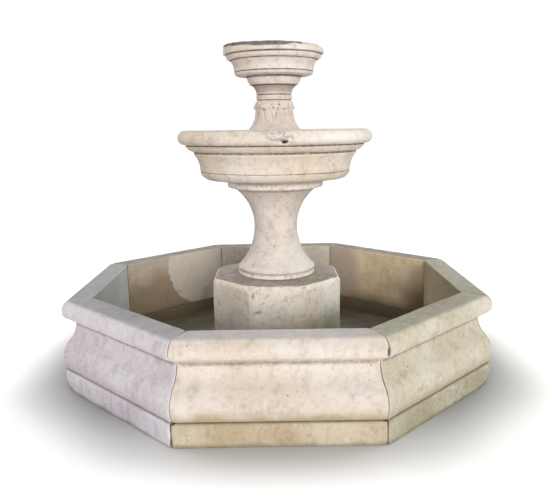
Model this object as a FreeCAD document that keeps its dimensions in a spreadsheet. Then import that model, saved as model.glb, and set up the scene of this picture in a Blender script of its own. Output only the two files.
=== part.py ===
import FreeCAD, Part
import math
import os

import Sketcher

# Tiered stone water fountain. Millimetres, +Z up, origin at the centre of the footprint on the ground.
# The eight sides of the pool and of the pedestal block are flat to the axes: one side faces -Y.
# "half" is half the distance across the flats of an octagon; every "_radius" of a turned stone is from +Z.

SIZES = {
    # pool wall, from the ground up
    "pool_half": 1055.0,
    "plinth_foot_half": 1228.0,
    "plinth_head_half": 1226.0,
    "plinth_arris": 16.0,
    "plinth_height": 116.0,
    "bed_thickness": 4.0,
    "curb_foot_half": 1212.0,
    "swell_half": 1194.0,
    "swell_height": 275.0,
    "swell_bend": 149.0,
    "waist_half": 1150.0,
    "waist_height": 385.0,
    "waist_bend": 159.5,
    "lip_neck_half": 1165.0,
    "lip_neck_height": 397.0,
    "lip_drip_half": 1211.0,
    "lip_drip_height": 422.0,
    "lip_half": 1219.0,
    "lip_height": 452.0,
    "lip_lower_bend": 60.0,
    "lip_upper_bend": 69.0,
    "rim_half": 1180.0,
    "rim_height": 515.0,
    "mitre_gap": 4.0,
    "mitre_overrun": 50.0,
    "mortar_recess": 4.0,
    "bed_inner_half": 1063.0,
    "bed_outer_half": 1202.0,
    # steel in the wall
    "cramp_radius": 1215.0,
    "cramp_length": 160.0,
    "cramp_width": 20.0,
    "cramp_thickness": 6.0,
    "cramp_leg": 46.0,
    "curb_dowel_half": 1130.0,
    "curb_dowel_offset": 250.0,
    "curb_dowel_embed": 35.0,
    "dowel_radius": 6.0,
    # floor
    "floor_thickness": 30.0,
    "floor_gap": 3.0,
    # pedestal block
    "block_half": 392.0,
    "block_top_half": 376.0,
    "block_arris_height": 22.0,
    "block_top": 552.0,
    "tier_bed": 3.0,
    "chamber_radius": 270.0,
    "chamber_top": 440.0,
    "access_width": 260.0,
    "access_height": 290.0,
    "pipe_passage_radius": 25.0,
    # lower column
    "foot_ring_radius": 240.0,
    "foot_ring_height": 21.0,
    "foot_quirk_radius": 229.0,
    "foot_quirk_rise": 26.0,
    "foot_quirk_width": 3.0,
    "foot_quirk_slope": 8.0,
    "foot_flare_radius": 242.0,
    "foot_flare_height": 600.0,
    "foot_bend": 351.5,
    "column_waist_radius": 134.5,
    "column_waist_height": 853.0,
    "head_bend": 298.8,
    "head_flare_radius": 245.0,
    "head_flare_height": 1085.0,
    "neck_ring_under_radius": 288.0,
    "neck_ring_radius": 296.0,
    "neck_ring_height": 1097.0,
    "neck_ring_arris": 5.0,
    # middle bowl
    "middle_base": 1150.0,
    "middle_foot_radius": 398.0,
    "middle_torus_radius": 460.0,
    "middle_torus_rise": 46.0,
    "middle_torus_bend": 58.0,
    "middle_quirk_radius": 457.0,
    "middle_quirk_width": 3.0,
    "middle_cove_height": 1203.0,
    "middle_cove_top_height": 1302.0,
    "middle_cove_top_radius": 497.0,
    "middle_cove_bend": 154.0,
    "middle_band_rise": 14.0,
    "middle_fillet_radius": 527.0,
    "middle_fillet_height": 1330.0,
    "middle_splay_radius": 548.0,
    "middle_splay_height": 1352.0,
    "middle_groove_radius": 544.0,
    "middle_groove_height": 1355.0,
    "middle_groove_width": 4.0,
    "middle_lip_low_radius": 556.0,
    "middle_lip_low_height": 1361.0,
    "middle_lip_radius": 591.0,
    "middle_lip_height": 1397.0,
    "middle_lip_lower_bend": 38.0,
    "middle_lip_upper_bend": 45.5,
    "middle_rim_outer_radius": 549.0,
    "middle_rim_height": 1443.0,
    "middle_rim_inner_radius": 522.0,
    "middle_dish_radius": 508.0,
    "middle_dish_height": 1424.0,
    "middle_dish_bend": 172.0,
    "middle_floor_radius": 372.0,
    "middle_floor_height": 1268.0,
    "stem_seat_radius": 192.0,
    "stem_seat_height": 1330.0,
    "stem_seat_batter": 8.0,
    "middle_floor_dip": 4.0,
    # carved stem
    "stem_foot_radius": 178.0,
    "stem_flare_height": 1430.8,
    "stem_bend": 135.7,
    "stem_waist_radius": 117.0,
    "stem_waist_height": 1546.0,
    "stem_leaf_radius": 121.0,
    "stem_leaf_height": 1576.0,
    "stem_leaf_bend": 66.0,
    "stem_head_radius": 104.0,
    "stem_head_height": 1616.0,
    "stem_head_bend": 62.0,
    # top bowl
    "collar_radius": 108.0,
    "collar_low": 1626.0,
    "collar_high": 1643.0,
    "collar_bend": 9.0,
    "collar_quirk_radius": 102.0,
    "collar_quirk_height": 1650.0,
    "collar_quirk_splay": 5.0,
    "collar_quirk_width": 3.0,
    "ogee_radius": 131.0,
    "ogee_height": 1702.0,
    "ogee_bend": 62.0,
    "neck_low_radius": 144.0,
    "neck_low_height": 1708.0,
    "neck_high_radius": 162.0,
    "neck_high_height": 1756.0,
    "neck_bend": 70.0,
    "top_torus_inner_radius": 208.0,
    "top_torus_low_height": 1760.0,
    "top_torus_radius": 238.0,
    "top_torus_height": 1777.0,
    "top_torus_bend": 26.0,
    "top_quirk_radius": 234.0,
    "top_quirk_height": 1782.0,
    "top_cove_radius": 239.0,
    "top_cove_height": 1786.0,
    "top_cove_head_radius": 258.0,
    "top_cove_head_height": 1844.0,
    "top_cove_bend": 76.6,
    "top_cove_band_rise": 4.0,
    "top_fillet_low_radius": 271.0,
    "top_fillet_low_height": 1852.0,
    "top_fillet_high_radius": 287.0,
    "top_fillet_high_height": 1875.0,
    "top_fillet_bend": 30.0,
    "top_groove_radius": 282.0,
    "top_groove_height": 1879.0,
    "top_lip_radius": 302.0,
    "top_lip_height": 1885.0,
    "top_rim_radius": 299.0,
    "top_rim_height": 1928.0,
    "top_rim_inner_radius": 270.0,
    "top_rim_bevel": 4.0,
    "top_dish_height": 1913.0,
    "top_dish_bend": 130.0,
    "top_floor_radius": 150.0,
    "top_floor_height": 1812.0,
    "top_seat_radius": 62.0,
    "top_seat_height": 1806.0,
    # dowels between the tiers: distance from the axis and embedment each way
    "tier_dowel_embed": 30.0,
    "column_dowel_offset": 150.0,
    "middle_dowel_offset": 180.0,
    "stem_dowel_offset": 100.0,
    "top_dowel_offset": 68.0,
    # drain and overflow, behind the pedestal block
    "drain_offset": 560.0,
    "drain_bore_radius": 20.0,
    "drain_tail_radius": 25.0,
    "drain_flange_radius": 45.0,
    "drain_collar_radius": 30.0,
    "drain_gasket_thickness": 3.0,
    "drain_flange_thickness": 6.0,
    "drain_shoulder_height": 45.0,
    "drain_collar_top": 70.0,
    "standpipe_radius": 25.0,
    "standpipe_wall": 2.5,
    "standpipe_clearance": 0.05,
    "standpipe_top": 425.0,
    "strainer_skirt": 12.0,
    "strainer_cap_radius": 30.0,
    "strainer_cap_side": 17.0,
    "strainer_dome_rise": 10.0,
    "strainer_dome_bend": 50.0,
    # cable entry through the floor
    "conduit_offset": 215.0,
    "conduit_radius": 13.0,
    "conduit_bore_radius": 10.0,
    "conduit_top": 55.0,
    "conduit_plug_depth": 18.0,
    "conduit_plug_lip": 4.0,
    # pump, its axis along +Y with the intake towards -Y
    "pump_axis_height": 110.0,
    "volute_radius": 50.0,
    "volute_flange_radius": 64.0,
    "volute_front": 30.0,
    "volute_flange_back": 30.0,
    "volute_flange_thickness": 10.0,
    "volute_wall": 16.0,
    "volute_nose_round": 4.0,
    "volute_chamber_radius": 42.0,
    "intake_hole_radius": 6.0,
    "intake_hole_offset": 22.0,
    "bush_radius": 9.0,
    "bush_depth": 12.0,
    "bush_play": 1.0,
    "bush_bore_radius": 3.04,
    "spigot_radius": 16.0,
    "spigot_bore_radius": 12.0,
    "spigot_length": 95.0,
    "gasket_inner_radius": 44.5,
    "gasket_outer_radius": 48.0,
    "gasket_thickness": 1.8,
    "volute_screw_offset": 58.0,
    "volute_screw_radius": 2.5,
    "volute_screw_head_radius": 4.25,
    "volute_screw_head_height": 5.0,
    "motor_radius": 52.0,
    "motor_wall": 4.0,
    "motor_back": 150.0,
    "motor_front_wall": 6.0,
    "can_radius": 18.0,
    "can_bore_radius": 16.0,
    "can_end": 130.0,
    "can_end_wall": 4.0,
    "stator_outer_radius": 47.5,
    "stator_inner_radius": 18.5,
    "stator_front": 40.0,
    "stator_back": 128.0,
    "rear_cap_thickness": 6.0,
    "rear_cap_plug": 8.0,
    "gland_hole_radius": 8.0,
    "gland_radius": 12.0,
    "gland_length": 18.0,
    "gland_nose_length": 6.0,
    "shaft_radius": 3.0,
    "shaft_front": 25.0,
    "shaft_back": 125.0,
    "impeller_radius": 38.0,
    "impeller_hub_radius": 12.0,
    "impeller_hub_step": 2.0,
    "impeller_front": 10.0,
    "impeller_back": 10.0,
    "impeller_plate": 4.0,
    "vane_thickness": 2.5,
    "vane_tip_inset": 1.0,
    "magnet_radius": 15.0,
    "magnet_front": 38.0,
    "magnet_back": 110.0,
    "intake_cage_radius": 53.0,
    "intake_cage_front": 75.0,
    "intake_cage_back": 18.0,
    "intake_slot_width": 5.0,
    "intake_slot_front": 66.0,
    "intake_slot_back": 36.0,
    "cradle_width": 120.0,
    "cradle_front": 20.0,
    "cradle_back": 145.0,
    "cradle_thickness": 8.0,
    "saddle_width": 90.0,
    "saddle_front": 60.0,
    "saddle_top": 75.0,
    "saddle_inset": 5.0,
    "pump_foot_radius": 10.0,
    "pump_foot_height": 7.0,
    "pump_foot_inset": 15.0,
    "cable_radius": 4.4,
    "cable_hole_radius": 4.5,
    "cable_bend": 30.0,
    "cable_start": 146.0,
    "cable_end_height": 4.0,
    # hose, valve and riser on the fountain's axis
    "hose_radius": 20.5,
    "hose_low": 176.0,
    "hose_high": 266.0,
    "clamp_thickness": 1.5,
    "clamp_width": 12.0,
    "clamp_inset": 8.0,
    "clamp_screw_block": 10.0,
    "clamp_screw_gap": 0.5,
    "valve_low": 235.0,
    "valve_shoulder": 272.0,
    "valve_height": 300.0,
    "valve_neck_radius": 22.0,
    "valve_body_bend": 40.0,
    "valve_neck_top": 328.0,
    "valve_neck_step": 2.0,
    "valve_socket_radius": 24.0,
    "valve_socket_floor": 332.0,
    "valve_top": 356.0,
    "ball_cavity_radius": 20.0,
    "ball_cavity_half_mouth": 16.0,
    "ball_radius": 19.95,
    "stem_hole_radius": 6.05,
    "valve_stem_radius": 6.0,
    "valve_stem_start": 16.0,
    "valve_boss_radius": 11.0,
    "valve_boss_start": 25.0,
    "valve_boss_end": 40.0,
    "gland_nut_end": 47.0,
    "gland_nut_step": 1.0,
    "lever_start": 50.0,
    "lever_thickness": 4.0,
    "lever_half_width": 8.0,
    "lever_length": 100.0,
    "grip_start": 34.0,
    "grip_skin": 1.5,
    "riser_radius": 14.0,
    "riser_wall": 1.5,
    "riser_low": 334.0,
    "riser_top": 1895.0,
    "riser_nut_radius": 21.0,
    "riser_nut_height": 16.0,
    "bowl_gasket_radius": 38.0,
    "bowl_gasket_thickness": 3.0,
    "bowl_flange_radius": 42.0,
    "bowl_flange_thickness": 7.0,
    "bowl_hub_radius": 20.0,
    "bowl_hub_height": 14.0,
    "nozzle_low": 1872.0,
    "nozzle_radius": 19.0,
    "nozzle_throat_radius": 7.0,
    "nozzle_lip": 4.0,
    "nozzle_shoulder": 1898.0,
    "nozzle_top": 1912.0,
    # access grille over the pump chamber
    "grille_half_width": 150.0,
    "grille_low": 38.0,
    "grille_high": 350.0,
    "grille_thickness": 5.0,
    "grille_slot_width": 9.0,
    "grille_slot_inset": 40.0,
    "grille_slot_pitch": 20.0,
    "grille_screw_inset": 10.0,
    "grille_screw_radius": 3.0,
    "grille_screw_depth": 30.0,
    "grille_screw_head_radius": 6.0,
    "grille_screw_head_height": 3.0,
}

SIDES = {
    "right": 0,
    "back_right": 45,
    "back": 90,
    "back_left": 135,
    "left": 180,
    "front_left": 225,
    "front": 270,
    "front_right": 315,
}
CORNER_ANGLE = 22.5
GRILLE_SLOTS = 12
INTAKE_HOLES = 6
VANES = 6
INTAKE_SLOTS = 16

doc = FreeCAD.newDocument("tiered_water_fountain")
nodes = {}


# ---------------------------------------------------------------- sizes and the sheet


class Size:
    """A length that keeps the sheet expression it comes from."""

    def __init__(self, value, text):
        self.value = value
        self.text = text

    def joined(self, sign, other, value):
        return Size(value, f"({self.text} {sign} {sized(other).text})")

    def __add__(self, other):
        return self.joined("+", other, self.value + sized(other).value)

    def __sub__(self, other):
        return self.joined("-", other, self.value - sized(other).value)

    def __mul__(self, other):
        return self.joined("*", other, self.value * sized(other).value)

    def __truediv__(self, other):
        return self.joined("/", other, self.value / sized(other).value)

    def __neg__(self):
        return Size(-self.value, f"(0 - {self.text})")


def sized(number):
    if isinstance(number, Size):
        return number
    return Size(float(number), f"({number})")


class Sheet:
    """Sizes read from the sheet by alias, such as d.block_top."""

    def __getattr__(self, alias):
        return Size(SIZES[alias], f"Dims.{alias}")


d = Sheet()
MITRE_SLOPE = Size(math.tan(math.radians(CORNER_ANGLE)), f"tan({CORNER_ANGLE} deg)")
MITRE_STRETCH = Size(1 / math.cos(math.radians(CORNER_ANGLE)), f"(1 / cos({CORNER_ANGLE} deg))")
UPRIGHT = FreeCAD.Rotation()
ALONG_Y = FreeCAD.Rotation(FreeCAD.Vector(1, 0, 0), -90)


def make_sheet():
    sheet = doc.addObject("Spreadsheet::Sheet", "Dims")
    for row, (alias, value) in enumerate(SIZES.items(), start=1):
        sheet.set(f"A{row}", alias)
        sheet.set(f"B{row}", str(value))
        sheet.setAlias(f"B{row}", alias)
    doc.recompute()


# ---------------------------------------------------------------- sketches and features


def bind(thing, path, size):
    thing.setExpression(path, sized(size).text)


def new_body(name, rotation=UPRIGHT, height=None, depth=None):
    """An empty body. height and depth move it along +Z and +Y."""
    body = doc.addObject("PartDesign::Body", name)
    body.Placement = FreeCAD.Placement(FreeCAD.Vector(), rotation)
    if height is not None:
        bind(body, "Placement.Base.z", height)
    if depth is not None:
        bind(body, "Placement.Base.y", depth)
    return body


def new_sketch(body, role, offset=None):
    """A sketch on one of the body's origin planes, moved along the plane's normal by offset."""
    sketch = body.newObject("Sketcher::SketchObject", body.Name + "_sketch")
    plane = next(one for one in body.Origin.OriginFeatures if one.Role == role)
    sketch.AttachmentSupport = [(plane, "")]
    sketch.MapMode = "FlatFace"
    if offset is not None:
        bind(sketch, "AttachmentOffset.Base.z", offset)
    return sketch


def pin_point(sketch, element, end, x, y):
    """Holds a point at x, y from the sketch's origin, bound to the sheet."""
    for kind, zero_axis, size in (("DistanceX", -2, x), ("DistanceY", -1, y)):
        if abs(size.value) < 1e-9:
            sketch.addConstraint(Sketcher.Constraint("PointOnObject", element, end, zero_axis))
            continue
        index = sketch.addConstraint(Sketcher.Constraint(kind, -1, 1, element, end, size.value))
        bind(sketch, f"Constraints[{index}]", size)


def arc_geometry(start, end, bend):
    """The short arc from start to end. A positive bend turns left on the way, a negative one right."""
    chord = end - start
    left = FreeCAD.Vector(-chord.y, chord.x, 0).normalize()
    rise = math.sqrt(bend**2 - (chord.Length / 2) ** 2)
    centre = (start + end) * 0.5 + left * math.copysign(rise, bend)
    first, last = (start, end) if bend > 0 else (end, start)
    first_angle = math.atan2(first.y - centre.y, first.x - centre.x)
    last_angle = math.atan2(last.y - centre.y, last.x - centre.x)
    if last_angle < first_angle:
        last_angle += 2 * math.pi
    circle = Part.Circle(centre, FreeCAD.Vector(0, 0, 1), abs(bend))
    return Part.ArcOfCircle(circle, first_angle, last_angle)


def draw_outline(sketch, corners):
    """Draws a closed outline. A corner is (x, y), or (x, y, bend) where an arc of that radius arrives."""
    corners = [tuple(sized(part) for part in corner) for corner in corners]
    points = [FreeCAD.Vector(corner[0].value, corner[1].value, 0) for corner in corners]
    first = sketch.GeometryCount
    count = len(corners)
    ends = []
    for index in range(count):
        target = (index + 1) % count
        if len(corners[target]) == 3:
            bend = corners[target][2]
            sketch.addGeometry(arc_geometry(points[index], points[target], bend.value))
            ends.append((1, 2) if bend.value > 0 else (2, 1))
        else:
            sketch.addGeometry(Part.LineSegment(points[index], points[target]))
            ends.append((1, 2))
    for index, (start, end) in enumerate(ends):
        target = (index + 1) % count
        join = Sketcher.Constraint("Coincident", first + index, end, first + target, ends[target][0])
        sketch.addConstraint(join)
    for index, (start, end) in enumerate(ends):
        pin_point(sketch, first + index, start, corners[index][0], corners[index][1])
        target = (index + 1) % count
        if len(corners[target]) == 3:
            bend = corners[target][2]
            radius = Sketcher.Constraint("Radius", first + index, abs(bend.value))
            number = sketch.addConstraint(radius)
            bind(sketch, f"Constraints[{number}]", bend if bend.value > 0 else -bend)


def draw_circle(sketch, x, y, radius):
    x, y, radius = sized(x), sized(y), sized(radius)
    centre = FreeCAD.Vector(x.value, y.value, 0)
    element = sketch.addGeometry(Part.Circle(centre, FreeCAD.Vector(0, 0, 1), radius.value))
    number = sketch.addConstraint(Sketcher.Constraint("Radius", element, radius.value))
    bind(sketch, f"Constraints[{number}]", radius)
    pin_point(sketch, element, 3, x, y)


def rectangle(left, low, right, high):
    return [(left, low), (right, low), (right, high), (left, high)]


def octagon(half):
    """Corners of an octagon with flats facing the axes."""
    side = half * MITRE_SLOPE
    return [
        (half, -side),
        (half, side),
        (side, half),
        (-side, half),
        (-half, side),
        (-half, -side),
        (-side, -half),
        (side, -half),
    ]


def pad(body, sketch, length, symmetric=False, reverse=False):
    feature = body.newObject("PartDesign::Pad", body.Name + "_pad")
    feature.Profile = sketch
    bind(feature, "Length", length)
    feature.SideType = "Symmetric" if symmetric else "One side"
    feature.Reversed = reverse
    return feature


def pocket(body, sketch, length=None, symmetric=False, reverse=False):
    """A pocket against the sketch's normal, or along it when reversed. No length cuts through all."""
    feature = body.newObject("PartDesign::Pocket", body.Name + "_pocket")
    feature.Profile = sketch
    if length is None:
        feature.Type = "ThroughAll"
    else:
        bind(feature, "Length", length)
    feature.SideType = "Symmetric" if symmetric else "One side"
    feature.Reversed = reverse
    return feature


def spin(body, sketch, kind="PartDesign::Revolution"):
    feature = body.newObject(kind, body.Name + "_spin")
    feature.Profile = sketch
    feature.ReferenceAxis = (sketch, ["V_Axis"])
    feature.Angle = 360
    return feature


def repeat_around(body, feature, count):
    """Repeats a feature round the body's own +Z."""
    pattern = body.newObject("PartDesign::PolarPattern", body.Name + "_pattern")
    pattern.Originals = [feature]
    axis = next(one for one in body.Origin.OriginFeatures if one.Role == "Z_Axis")
    pattern.Axis = (axis, [""])
    pattern.Angle = 360
    pattern.Occurrences = count
    body.Tip = pattern


def turned(name, *outlines, rotation=UPRIGHT, height=None, depth=None):
    """A body turned about its own +Z from one or more half sections, each (radius, height)."""
    body = new_body(name, rotation, height, depth)
    sketch = new_sketch(body, "XZ_Plane")
    for corners in outlines:
        draw_outline(sketch, corners)
    spin(body, sketch)
    return body


def cut(name, base, *tools):
    """Base with its fixings cut out of it, so that each one is seated in the piece."""
    for number, tool in enumerate(tools, start=1):
        last = number == len(tools)
        result = doc.addObject("Part::Cut", name if last else f"{name}_cut_{number}")
        result.Base = base
        result.Tool = tool
        base = result
    return base


def grouped(name, *pieces):
    """Separate solids of one kind that share a node."""
    group = doc.addObject("Part::Compound", name)
    group.Links = list(pieces)
    return group


def keep(name, piece):
    """Marks a piece as a sub-part. Its label names its file."""
    piece.Label = name
    nodes[name] = piece


# ---------------------------------------------------------------- the pool wall


def curb_outline(inset=0.0, stretch=1.0):
    """Section of the moulded curb: swell, waist, then a bullnose lip with a flat top.

    inset draws it in on every side; stretch widens it for the slanting plane of a mitre.
    """

    def at(half, height, *bend):
        return (half * stretch, height, *bend)

    low = d.plinth_height + d.bed_thickness
    return [
        at(d.pool_half + inset, low),
        at(d.curb_foot_half - inset, low),
        at(d.swell_half - inset, d.swell_height, d.swell_bend),
        at(d.waist_half - inset, d.waist_height, -d.waist_bend * stretch),
        at(d.lip_neck_half - inset, d.lip_neck_height + inset),
        at(d.lip_drip_half - inset, d.lip_drip_height + inset),
        at(d.lip_half - inset, d.lip_height, d.lip_lower_bend),
        at(d.rim_half - inset, d.rim_height - inset, d.lip_upper_bend),
        at(d.pool_half + inset, d.rim_height - inset),
    ]


def plinth_outline(inset=0.0, stretch=1.0):
    """Section of the plinth: a battered face with a rounded top arris."""
    face = d.plinth_head_half - inset
    high = d.plinth_height - inset
    return [
        ((d.pool_half + inset) * stretch, 0),
        ((d.plinth_foot_half - inset) * stretch, 0),
        (face * stretch, high - d.plinth_arris),
        ((face - d.plinth_arris) * stretch, high, d.plinth_arris * stretch),
        ((d.pool_half + inset) * stretch, high),
    ]


def mitred_stone(name, angle, section):
    """One wall stone on the side that faces angle, its ends cut back from the corner planes."""
    body = new_body(name, FreeCAD.Rotation(FreeCAD.Vector(0, 0, 1), angle))
    profile = new_sketch(body, "XZ_Plane")
    draw_outline(profile, section)
    reach = d.plinth_foot_half + d.mitre_overrun
    pad(body, profile, reach * MITRE_SLOPE * 2, symmetric=True)
    inner = d.pool_half - d.mitre_overrun
    half_gap = d.mitre_gap / 2 * MITRE_STRETCH
    ends = new_sketch(body, "XY_Plane")
    for side in (1, -1):
        corners = [
            (inner, (inner * MITRE_SLOPE - half_gap) * side),
            (reach, (reach * MITRE_SLOPE - half_gap) * side),
            (reach, reach * side),
            (inner, reach * side),
        ]
        draw_outline(ends, corners)
    pocket(body, ends, symmetric=True)
    return body


def mitre_mortar(name, section):
    """The eight mortar joints at the corners, each a thin plate a little shy of the stone's faces."""
    body = new_body(name, FreeCAD.Rotation(FreeCAD.Vector(0, 0, 1), CORNER_ANGLE))
    profile = new_sketch(body, "XZ_Plane")
    draw_outline(profile, section)
    plate = pad(body, profile, d.mitre_gap, symmetric=True)
    repeat_around(body, plate, len(SIDES))
    return body


def cramps():
    """Steel staples laid in the top of the plinth across each corner joint."""
    body = new_body("plinth_cramps_body", FreeCAD.Rotation(FreeCAD.Vector(0, 0, 1), CORNER_ANGLE))
    sketch = new_sketch(body, "YZ_Plane", d.cramp_radius)
    half = d.cramp_length / 2
    inner = half - d.cramp_thickness
    top = d.plinth_height
    under = top - d.cramp_thickness
    foot = top - d.cramp_leg
    staple = [
        (-half, foot),
        (-inner, foot),
        (-inner, under),
        (inner, under),
        (inner, foot),
        (half, foot),
        (half, top),
        (-half, top),
    ]
    draw_outline(sketch, staple)
    bar = pad(body, sketch, d.cramp_width, symmetric=True)
    repeat_around(body, bar, len(SIDES))
    return body


def curb_dowel_group():
    """Two upright dowels under every curb stone, through the bed joint into the plinth."""
    body = new_body("curb_dowels_body")
    sketch = new_sketch(body, "XY_Plane", d.plinth_height - d.curb_dowel_embed)
    for side in (1, -1):
        draw_circle(sketch, d.curb_dowel_half, d.curb_dowel_offset * side, d.dowel_radius)
    pins = pad(body, sketch, d.curb_dowel_embed * 2 + d.bed_thickness)
    repeat_around(body, pins, len(SIDES))
    return body


def octagonal_ring(name, outer, inner, low, thickness):
    body = new_body(name)
    sketch = new_sketch(body, "XY_Plane", low)
    draw_outline(sketch, octagon(outer))
    draw_outline(sketch, octagon(inner))
    pad(body, sketch, thickness)
    return body


def make_wall(pins):
    """Curb and plinth stones with their cramps and corner joints. Returns the mortar bed between them."""
    staples = cramps()
    keep("plinth_cramps", staples)
    for side, angle in SIDES.items():
        curb = mitred_stone(f"curb_{side}_blank", angle, curb_outline())
        keep(f"curb_{side}", cut(f"curb_{side}_stone", curb, pins))
        plinth = mitred_stone(f"plinth_{side}_blank", angle, plinth_outline())
        keep(f"plinth_{side}", cut(f"plinth_{side}_stone", plinth, staples, pins))
    upper = mitre_mortar("curb_joint_plates", curb_outline(d.mortar_recess, MITRE_STRETCH))
    lower = mitre_mortar("plinth_joint_plates", plinth_outline(d.mortar_recess, MITRE_STRETCH))
    keep("corner_mortar", grouped("corner_joints", upper, cut("plinth_joints", lower, staples)))
    bed = octagonal_ring(
        "curb_bed_ring", d.bed_outer_half, d.bed_inner_half, d.plinth_height, d.bed_thickness
    )
    return cut("curb_bed", bed, pins)


def make_floor():
    half = d.pool_half - d.floor_gap
    body = new_body("floor_body")
    sketch = new_sketch(body, "XY_Plane")
    draw_outline(sketch, octagon(half))
    draw_circle(sketch, 0, d.drain_offset, d.drain_tail_radius)
    draw_circle(sketch, 0, d.conduit_offset, d.conduit_radius)
    pad(body, sketch, d.floor_thickness)
    keep("basin_floor", body)
    keep("floor_sealant", octagonal_ring("floor_sealant_ring", d.pool_half, half, 0, d.floor_thickness))


# ---------------------------------------------------------------- pedestal and tiers


def tier_joints():
    """Height of the underside of each tier's bed joint and how far out its dowels stand."""
    return [
        (d.block_top, d.column_dowel_offset),
        (d.middle_base - d.tier_bed, d.middle_dowel_offset),
        (d.stem_seat_height, d.stem_dowel_offset),
        (d.stem_head_height, d.top_dowel_offset),
    ]


def tier_dowel_group():
    """Two upright dowels across each bed joint between the tiers."""
    body = new_body("tier_dowels_body")
    for low, offset in tier_joints():
        sketch = new_sketch(body, "XY_Plane", low - d.tier_dowel_embed)
        for side in (1, -1):
            draw_circle(sketch, offset * side, 0, d.dowel_radius)
        pad(body, sketch, d.tier_dowel_embed * 2 + d.tier_bed)
    return body


def tier_bed_group():
    """The mortar bed under each tier: an octagon under the block, then four turned rings."""
    body = new_body("tier_beds_body")
    base = new_sketch(body, "XY_Plane", d.floor_thickness)
    draw_outline(base, octagon(d.block_half - d.mortar_recess))
    draw_circle(base, 0, 0, d.chamber_radius)
    pad(body, base, d.tier_bed)
    radii = [d.foot_ring_radius, d.neck_ring_radius, d.stem_foot_radius, d.stem_head_radius]
    for (low, _), radius in zip(tier_joints(), radii):
        sketch = new_sketch(body, "XY_Plane", low)
        draw_circle(sketch, 0, 0, radius - d.mortar_recess)
        draw_circle(sketch, 0, 0, d.pipe_passage_radius)
        pad(body, sketch, d.tier_bed)
    return body


def block_blank():
    """Octagonal block with a bevelled top, a round pump chamber below and an access opening at the back."""
    body = new_body("pedestal_block_body")
    low = d.floor_thickness + d.tier_bed
    bevel_low = d.block_top - d.block_arris_height
    base = new_sketch(body, "XY_Plane", low)
    draw_outline(base, octagon(d.block_half))
    pad(body, base, bevel_low - low)
    lower = new_sketch(body, "XY_Plane", bevel_low)
    draw_outline(lower, octagon(d.block_half))
    upper = new_sketch(body, "XY_Plane", d.block_top)
    draw_outline(upper, octagon(d.block_top_half))
    bevel = body.newObject("PartDesign::AdditiveLoft", "pedestal_block_bevel")
    bevel.Profile = lower
    bevel.Sections = [upper]
    bevel.Ruled = True
    chamber = new_sketch(body, "XY_Plane", d.chamber_top)
    draw_circle(chamber, 0, 0, d.chamber_radius)
    pocket(body, chamber)
    passage = new_sketch(body, "XY_Plane")
    draw_circle(passage, 0, 0, d.pipe_passage_radius)
    pocket(body, passage, symmetric=True)
    half = d.access_width / 2
    opening = new_sketch(body, "XZ_Plane")
    draw_outline(opening, rectangle(-half, low, half, low + d.access_height))
    pocket(body, opening)
    return body


def column_outline():
    """Foot ring and quirk, a long flare in to the waist and out again, then the neck ring."""
    low = d.block_top + d.tier_bed
    high = d.middle_base - d.tier_bed
    return [
        (d.pipe_passage_radius, low),
        (d.foot_ring_radius, low),
        (d.foot_ring_radius, low + d.foot_ring_height),
        (d.foot_quirk_radius, low + d.foot_quirk_rise),
        (d.foot_quirk_radius, low + d.foot_quirk_rise + d.foot_quirk_width),
        (d.foot_flare_radius, low + d.foot_quirk_rise + d.foot_quirk_slope),
        (d.foot_flare_radius, d.foot_flare_height),
        (d.column_waist_radius, d.column_waist_height, -d.foot_bend),
        (d.head_flare_radius, d.head_flare_height, -d.head_bend),
        (d.neck_ring_under_radius, d.neck_ring_height),
        (d.neck_ring_radius, d.neck_ring_height + d.neck_ring_arris),
        (d.neck_ring_radius, high),
        (d.pipe_passage_radius, high),
    ]


def middle_bowl_outline():
    """Quarter-round foot, cove, splayed fillet and a fat bullnose lip; dished inside round a seat."""
    torus_top = d.middle_base + d.middle_torus_rise
    return [
        (d.pipe_passage_radius, d.middle_base),
        (d.middle_foot_radius, d.middle_base),
        (d.middle_torus_radius, torus_top, d.middle_torus_bend),
        (d.middle_quirk_radius, torus_top + d.middle_quirk_width),
        (d.middle_torus_radius, d.middle_cove_height),
        (d.middle_cove_top_radius, d.middle_cove_top_height, -d.middle_cove_bend),
        (d.middle_cove_top_radius, d.middle_cove_top_height + d.middle_band_rise),
        (d.middle_fillet_radius, d.middle_fillet_height),
        (d.middle_splay_radius, d.middle_splay_height),
        (d.middle_groove_radius, d.middle_groove_height),
        (d.middle_groove_radius, d.middle_groove_height + d.middle_groove_width),
        (d.middle_lip_low_radius, d.middle_lip_low_height),
        (d.middle_lip_radius, d.middle_lip_height, d.middle_lip_lower_bend),
        (d.middle_rim_outer_radius, d.middle_rim_height, d.middle_lip_upper_bend),
        (d.middle_rim_inner_radius, d.middle_rim_height),
        (d.middle_dish_radius, d.middle_dish_height),
        (d.middle_floor_radius, d.middle_floor_height, -d.middle_dish_bend),
        (d.stem_seat_radius + d.stem_seat_batter, d.middle_floor_height - d.middle_floor_dip),
        (d.stem_seat_radius, d.stem_seat_height),
        (d.pipe_passage_radius, d.stem_seat_height),
    ]


def stem_outline():
    """Upright foot, a flare in to a narrow waist, then the swell of the leaf tips."""
    low = d.stem_seat_height + d.tier_bed
    return [
        (d.pipe_passage_radius, low),
        (d.stem_foot_radius, low),
        (d.stem_foot_radius, d.stem_flare_height),
        (d.stem_waist_radius, d.stem_waist_height, -d.stem_bend),
        (d.stem_leaf_radius, d.stem_leaf_height, -d.stem_leaf_bend),
        (d.stem_head_radius, d.stem_head_height, d.stem_head_bend),
        (d.pipe_passage_radius, d.stem_head_height),
    ]


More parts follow.
